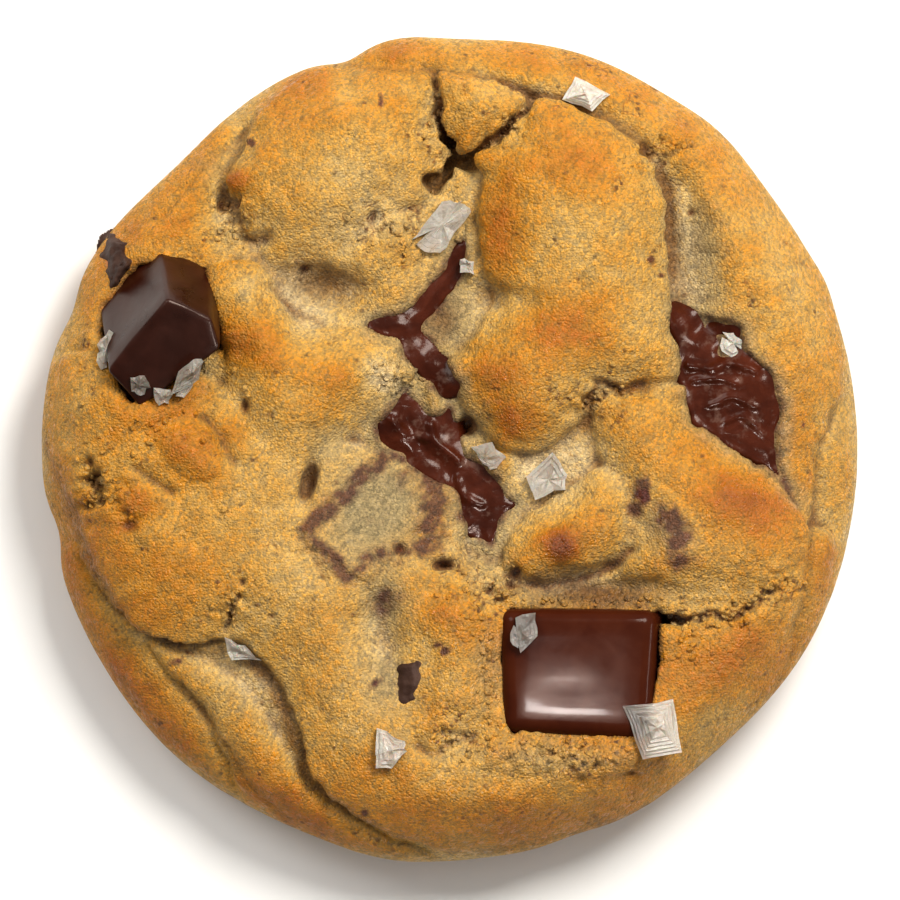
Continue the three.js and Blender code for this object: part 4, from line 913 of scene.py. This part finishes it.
def melt(name, look, sink, wrinkle):
    depth, floor = MELT_LEVEL[name]
    line = curve(MELT_OUTLINES[name], True)
    low, high = line.min(0) - 1.0, line.max(0) + 1.0
    size = high - low
    mesh = bmesh.new()
    cells = [int(s / 0.22) for s in size]
    bmesh.ops.create_grid(mesh, x_segments=cells[0], y_segments=cells[1], size=0.5)
    place = np.array([v.co[:2] for v in mesh.verts]) * size + (low + high) / 2
    x, y = place[:, 0], place[:, 1]
    reach = np.hypot(x, y) / edge_radius(np.arctan2(y, x))
    down = 1 - SHOULDER_SINK * smoothstep(reach, SHOULDER_START, 1)
    within = sample(depth, x, y)
    level = dome(reach) + (sample(floor, x, y) - dome(reach)) * down - sink
    level = level + wrinkle * lattice_noise(x, y, 2.6, 61) + 0.3 * wrinkle * lattice_noise(x, y, 1.1, 62)
    level = level + 1.6 * np.minimum(within, 0) + 0.3 * smoothstep(within, 0, 1.5)
    for change, half, path in RIPPLES:
        level = level + change * sample(stroke(path, half), x, y)
    for vert, px, py, pz in zip(mesh.verts, x, y, level):
        vert.co = (px * MM, py * MM, pz * MM)
    outside = [v for v, d in zip(mesh.verts, within) if d < -0.8]
    bmesh.ops.delete(mesh, geom=outside, context="VERTS")
    piece = finish_piece(name, mesh, look, name)
    shell = piece.modifiers.new("depth", "SOLIDIFY")
    shell.thickness = 1.0 * MM
    shell.offset = -1.0
    return piece


melt("melted_right", melt_look, 0.5, 0.2)
melt("melted_upper", melt_look, 0.35, 0.15)
melt("melted_lower", melt_look, 0.4, 0.2)

# %% [markdown]
# ## Chocolate under a film of dough
# Two blocks lie just under the surface: the dough over them baked to a thin grey-gold film, and the brown
# shows through along their edges. A separate sheet laid on top would show a step, so each patch follows the
# crust and reads the same colour maps. The two small chips are made the same way, with bare chocolate.

# %% Filmed blocks
def filmed(name, outline, rise, look=dough_look, uneven=0.0, cell=0.25):
    """A patch that follows the crust and takes its colour maps, so the film runs out into the dough."""
    line = np.array(outline, float)
    depth = depth_inside(outline)
    low, high = line.min(0) - 1.5, line.max(0) + 1.5
    size = high - low
    mesh = bmesh.new()
    cells = [int(s / cell) for s in size]
    bmesh.ops.create_grid(mesh, x_segments=cells[0], y_segments=cells[1], size=0.5)
    place = np.array([v.co[:2] for v in mesh.verts]) * size + (low + high) / 2
    x, y = place[:, 0], place[:, 1]
    within = sample(depth, x, y)
    level = sample(HEIGHT, x, y) + rise * smoothstep(within, -0.2, 0.5) + 0.5 * np.minimum(within + 0.2, 0)
    level = level + uneven * (lattice_noise(x, y, 1.1, 63) + 0.6 * lattice_noise(x, y, 0.6, 64))
    for vert, px, py, pz in zip(mesh.verts, x, y, level):
        vert.co = (px * MM, py * MM, pz * MM)
    for key, field in MAPS.items():
        layer = mesh.verts.layers.float.new(key)
        for vert, value in zip(mesh.verts, sample(field, x, y)):
            vert[layer] = value
    outside = [v for v, d in zip(mesh.verts, within) if d < -1.0]
    bmesh.ops.delete(mesh, geom=outside, context="VERTS")
    piece = finish_piece(name, mesh, look, name)
    shell = piece.modifiers.new("depth", "SOLIDIFY")
    shell.thickness = 0.8 * MM
    shell.offset = -1.0
    return piece


filmed("filmed_chunk_centre", [(-14.8, -8.3), (-10, -3.6), (-5.5, 0.4), (-2.5, -1.6), (0, -5), (-4.5, -9),
                               (-8, -13), (-11.5, -11)], 0.35)
filmed("filmed_chunk_right", [(17.6, -5.4), (18.0, -3.2), (20.2, -3.0), (23.5, -5.5), (25, -8.5), (24, -11),
                              (21.5, -11), (20.4, -8), (19.2, -6.4)], 0.25)
filmed("chip_left", [(-34.6, 20.6), (-33.2, 21.2), (-32.2, 19.0), (-31.6, 16.6), (-32.8, 15.6),
                     (-34.0, 17.4)], 0.9, smear_look, 0.3, 0.12)
filmed("chip_lower", [(-5.2, -21.4), (-3.6, -21.2), (-3.2, -23.0), (-4.0, -25.2), (-5.0, -24.8),
                      (-5.0, -22.8)], 0.3, smear_look, 0.15, 0.12)

# %% [markdown]
# ## Crumbs
# Where the dough tore or was pressed against the slab, it broke into crumbs that baked on. They are small
# uneven lumps of the same dough, thickest along the tears.

# %% Crumbs in the tears
CRUMB_FIELDS = [  # how many, x, y, half width, half height, turn
    (90, 11, -29.7, 7.5, 1.2, -4), (45, 4.0, -22, 0.9, 5.5, 0), (40, 14, -15.0, 6.5, 0.7, 0),
    (40, 3, -13.5, 3.0, 2.8, 0), (60, -0.6, 31.5, 1.8, 4.4, 0), (24, 5.5, 32, 2.4, 1.0, 40),
    (26, -21.8, 23.0, 1.6, 2.4, 0), (50, -35.4, -3.5, 1.6, 2.6, 0), (24, 15.5, 5.6, 3.2, 1.4, 10),
    (40, 27, -16.3, 4.4, 1.1, 10), (20, 33, -13.6, 2.0, 1.2, 0), (22, -21.8, -15.6, 1.2, 2.0, 0),
    (26, -5, 7.5, 2.0, 1.6, 0), (20, 0.5, -29, 2.6, 1.0, 0), (26, 21, 30, 3.0, 1.2, 20),
    (60, -30, 6, 7, 8, 0), (30, -6, 21, 4, 2, 0), (20, 23.5, -19, 1.0, 3.0, 0),
]
beds = [left_bed, slab_bed, (REACH - 0.93) * RADIUS] + [depth for depth, _ in MELT_LEVEL.values()]
bare = np.max(beds, axis=0)
mesh = bmesh.new()
for count, x, y, rx, ry, turn in CRUMB_FIELDS:
    c, s = math.cos(math.radians(turn)), math.sin(math.radians(turn))
    u, v = rng.normal(0, 0.6, (2, count))
    at_x, at_y = x + rx * u * c - ry * v * s, y + rx * u * s + ry * v * c
    keep = sample(bare, at_x, at_y) < 0.1
    for px, py, level in zip(at_x[keep], at_y[keep], sample(HEIGHT, at_x, at_y)[keep]):
        size = rng.uniform(0.16, 0.42)
        spin = Matrix.Rotation(rng.uniform(0, 6), 4, "Z") @ Matrix.Rotation(rng.uniform(0, 1), 4, "X")
        squash = Matrix.Diagonal((1.0, rng.uniform(0.6, 1.0), rng.uniform(0.5, 0.9), 1.0))
        place = Matrix.Translation(Vector((px, py, level + 0.1 * size)) * MM) @ spin @ squash
        bmesh.ops.create_icosphere(mesh, subdivisions=2, radius=size * MM, matrix=place)
place = np.array([v.co for v in mesh.verts]) / MM
push = [0.14 * lattice_noise(place[:, 0] + 9 * axis, place[:, 1] + place[:, 2], 0.45, 71 + axis)
        for axis in range(3)]
for vert, step in zip(mesh.verts, np.stack(push, 1) * MM):
    vert.co += Vector(step)
crumbs = finish_piece("dough_crumbs", mesh, dough_look, None)
place = np.empty(len(crumbs.data.vertices) * 3)
crumbs.data.vertices.foreach_get("co", place)
place = place.reshape(-1, 3) / MM
for key, field in MAPS.items():
    values = sample(field, place[:, 0], place[:, 1]) * (key != "crack_shade")
    crumbs.data.attributes.new(key, "FLOAT", "POINT").data.foreach_set("value", values)

# %% [markdown]
# ## Sea salt flakes
# Pan salt grows as hollow square pyramids and thin plates with steps along their sides, milky where it is
# stepped and clear where it is thin. Each flake is an outline that is extruded up, then set in and raised or
# sunk step by step to its middle, and an attribute says how clear it is.

# %% Salt flakes
salt_look = new_material("sea_salt_crystal")
tree = salt_look.node_tree
frost = noise_node(tree, 0.5, 4, 0.65)
clear = attribute(tree, "clear")
white = mix_colour(tree, span(tree, frost, 0.3, 0.7), linear("#d8cdba"), linear("#fbf6ec"))
salt_colour = mix_colour(tree, clear, white, linear("#b3a693"))
bump = add(tree, "Bump", {"Height": frost, "Strength": 0.6, "Distance": 0.25 * MM}).outputs["Normal"]
surface(tree, {"Base Color": salt_colour, "Roughness": 0.32, "IOR": 1.54, "Normal": bump,
               "Transmission Weight": span(tree, clear, 0, 1, 0.4, 0.85),
               "Subsurface Weight": 0.2, "Subsurface Scale": 0.6 * MM})


def chunk_level(x, y):
    """Height of the lower face of the left block."""
    return 20.5 - 0.064 * (x + 28.1) + 0.455 * (y - 15.0)


FLAKES = [  # what it lies on, thickness, rise of its middle, steps, how clear it is, outline
    ("dough", 0.9, 1.3, 4, 0.05, [(11.2, 35.0), (12.5, 37.3), (16.0, 35.5), (14.2, 33.8)]),
    ("dough", 0.7, 0.3, 4, 0.5, [(-3.8, 21.0), (-2.5, 22.5), (-0.8, 24.8), (1.2, 24.9), (2.1, 23.8),
                                 (0.5, 21.8), (-1.0, 19.7), (-2.5, 19.8)]),
    ("dough", 1.0, -0.3, 1, 0.3, [(1.0, 19.0), (2.4, 18.8), (2.4, 17.5), (1.0, 17.7)]),
    ("dough", 0.7, 0.3, 2, 0.5, [(2.1, 0.3), (4.2, 0.8), (5.6, -0.7), (4.0, -2.0), (3.0, -1.0)]),
    ("dough", 0.9, -0.5, 3, 0.45, [(7.6, -2.7), (10.2, -0.2), (11.7, -2.5), (11.5, -4.0), (8.5, -5.0)]),
    ("dough", 0.8, 0.5, 3, 0.35, [(-7.3, -27.7), (-4.5, -29.0), (-4.3, -30.0), (-5.8, -31.7), (-7.4, -31.7)]),
    ("dough", 0.7, 0.2, 2, 0.45, [(-22.5, -18.7), (-20.5, -19.5), (-18.8, -21.0), (-21.8, -21.0)]),
    (16.2, 0.8, -0.2, 3, 0.9, [(6.5, -16.7), (8.5, -16.2), (8.7, -18.5), (7.0, -20.2), (6.0, -19.0)]),
    (15.6, 0.8, 1.2, 6, (0.95, 0.25), [(17.2, -25.5), (22.2, -24.8), (23.1, -30.1), (19.2, -30.8)]),
    (14.2, 0.8, 0.3, 2, 0.6, [(-35.2, 10.5), (-34.0, 12.0), (-32.8, 11.2), (-33.8, 8.5), (-34.8, 8.0)]),
    ("block", 0.6, 0.2, 1, 0.8, [(-31.8, 7.2), (-30.4, 7.4), (-29.8, 6.2), (-30.8, 5.4), (-31.7, 5.8)]),
    ("block", 0.9, 0.3, 3, 0.6, [(-27.8, 5.5), (-27.0, 7.8), (-25.5, 9.0), (-24.5, 8.8), (-25.0, 7.0),
                                 (-26.5, 5.2)]),
    ("block", 0.5, 0.1, 1, 0.5, [(-29.5, 6.2), (-27.8, 6.0), (-28.0, 4.6), (-29.3, 4.8)]),
    (12.6, 1.0, 0.5, 2, 0.2, [(27.2, 11.8), (28.4, 11.7), (29.6, 11.0), (29.4, 9.8), (28.2, 9.2),
                              (27.1, 9.9)]),
    (12.8, 0.7, 0.1, 1, 0.5, [(29.5, 6.2), (31.5, 7.6), (33.0, 5.5), (32.4, 5.0), (31.3, 6.6), (30.0, 5.6)]),
]


def jagged(outline):
    """Break the sides of an outline into short uneven runs."""
    line = np.array(outline, float)
    rows = []
    for a, b in zip(line, np.roll(line, -1, axis=0)):
        rows += [a, a + (b - a) * 0.35 + rng.normal(0, 0.10, 2), a + (b - a) * 0.68 + rng.normal(0, 0.10, 2)]
    return np.array(rows)


def flake(mesh, under, thick, rise, steps, clearness, outline):
    """A stepped salt plate: its outline, then smaller rings that climb or sink to the middle."""
    line = jagged(outline)
    middle = line.mean(0) + rng.normal(0, 0.15, 2)
    if under == "dough":
        level = sample(SOFT, line[:, 0], line[:, 1])
        level = 0.5 * level + 0.5 * level.mean() + 0.15
    elif under == "block":
        level = chunk_level(line[:, 0], line[:, 1])
    else:
        level = np.full(len(line), under)
    start = len(mesh.verts)
    bmesh.ops.create_circle(mesh, cap_ends=True, segments=len(line), radius=1.0)
    mesh.verts.ensure_lookup_table()
    for vert, (x, y), z in zip(mesh.verts[start:], line, level):
        vert.co = Vector((x, y, z - 0.3)) * MM
    edges = list({e for v in mesh.verts[start:] for e in v.link_edges})
    edges, points = extrude_ring(mesh, edges)
    for p in points:
        p.co.z += (thick + 0.3 + rng.normal(0, 0.08)) * MM
    for step in range(steps):
        for shrink, climb in ((1 - 0.55 / (steps - step), 0.0), (0.97, rise / steps)):
            edges, points = extrude_ring(mesh, edges)
            for p in points:
                p.co.x += (middle[0] * MM - p.co.x) * (1 - shrink)
                p.co.y += (middle[1] * MM - p.co.y) * (1 - shrink)
                p.co.z += (climb + rng.normal(0, 0.04)) * MM
    bmesh.ops.pointmerge(mesh, verts=points, merge_co=sum((p.co for p in points), Vector()) / len(points))
    mesh.verts.ensure_lookup_table()
    left, right = clearness if isinstance(clearness, tuple) else (clearness, clearness)
    west, east = line[:, 0].min() * MM, line[:, 0].max() * MM
    for vert in mesh.verts[start:]:
        share = float(smoothstep((vert.co.x - west) / (east - west), 0.25, 0.6))
        vert[clear_layer] = left + (right - left) * share


mesh = bmesh.new()
clear_layer = mesh.verts.layers.float.new("clear")
for row in FLAKES:
    flake(mesh, *row)
salt = finish_piece("salt_flakes", mesh, salt_look, None, smooth=False)

# %% [markdown]
# ## Floor, light and camera
# The cookie was lit softly from the upper right with a bright room round it, and seen from straight above
# with a long lens, so there is almost no perspective.

# %% Floor
mesh = bmesh.new()
bmesh.ops.create_grid(mesh, x_segments=1, y_segments=1, size=3.0)
floor_look = new_material("pale_paper_sweep")
tree = floor_look.node_tree
fibre = noise_node(tree, 4.0, 3)
surface(tree, {"Base Color": mix_colour(tree, fibre, linear("#f2f1ee"), linear("#f6f5f3")), "Roughness": 0.9})
data = bpy.data.meshes.new("floor")
mesh.to_mesh(data)
mesh.free()
floor = bpy.data.objects.new("floor", data)
bpy.context.scene.collection.objects.link(floor)
floor.data.materials.append(floor_look)

# %% [markdown]
# ## Light
# One large soft lamp at the upper right gives the folds their direction, and a weak one at the left opens
# the shadows. Real tempered chocolate mirrors a window; here three small cards over the slab are seen only
# as gloss, so they draw the streak on it without lighting the dough. The room is a gradient, brighter
# toward the key, so the dark faces of the blocks stay dark.

# %% Light
def softbox(name, place, aim, size, watts, colour):
    light = bpy.data.lights.new(name, "AREA")
    light.shape = "DISK"
    light.size = size
    light.energy = watts
    light.color = colour
    lamp = bpy.data.objects.new(name, light)
    lamp.location = place
    lamp.rotation_euler = (Vector(aim) - Vector(place)).to_track_quat("-Z", "Y").to_euler()
    bpy.context.scene.collection.objects.link(lamp)
    return lamp


MIDDLE = (0, 0, 0.01)
softbox("key_upper_right", (0.19, 0.26, 0.42), MIDDLE, 0.22, 3.45, (1.0, 0.97, 0.92))
softbox("fill_upper_left", (-0.35, 0.30, 0.45), MIDDLE, 0.30, 1.5, (1.0, 0.98, 0.96))


def card(name, over, wide, deep, watts):
    """A small card of light held close over the slab, seen only as the gloss on it."""
    lamp = softbox(name, over, (over[0], over[1], 0), wide, watts, (1.0, 0.97, 0.95))
    lamp.data.shape = "RECTANGLE"
    lamp.data.size_y = deep
    lamp.rotation_euler = (0, 0, 0)
    lamp.visible_camera = False
    lamp.visible_diffuse = False
    return lamp


card("slab_streak", (0.0112, -0.0288, 0.060), 0.0105, 0.0040, 0.024)
card("slab_sheen", (0.0086, -0.0240, 0.075), 0.0080, 0.0085, 0.0007)
edge = card("slab_edge", (0.0672, -0.0216, 0.0340), 0.0050, 0.0150, 0.004)
edge.rotation_euler = (0, math.radians(70), 0)
world = bpy.data.worlds.new("bright_room")
world.use_nodes = True
tree = world.node_tree
facing = add(tree, "VectorMath", {0: add(tree, "TexCoord").outputs["Generated"], 1: (0.42, 0.68, 0.60)},
             operation="DOT_PRODUCT").outputs["Value"]
background = tree.nodes["Background"]
background.inputs["Color"].default_value = (1.0, 0.985, 0.96, 1)
tree.links.new(span(tree, facing, -0.35, 1.0, 0.18, 0.64), background.inputs["Strength"])
bpy.context.scene.world = world
bpy.context.scene.view_settings.view_transform = "Standard"

# %% [markdown]
# ## Camera
# The picture was taken straight down from above. A long lens a metre up keeps the perspective as small as
# it is there, so the folds near the edge show little of their sides.

# %% Camera
camera_data = bpy.data.cameras.new("top_camera")
camera_data.lens = 400
camera_data.sensor_width = 36
camera_data.clip_end = 10
camera = bpy.data.objects.new("top_camera", camera_data)
camera.location = (0, 0, 1.012)
bpy.context.scene.collection.objects.link(camera)
bpy.context.scene.camera = camera
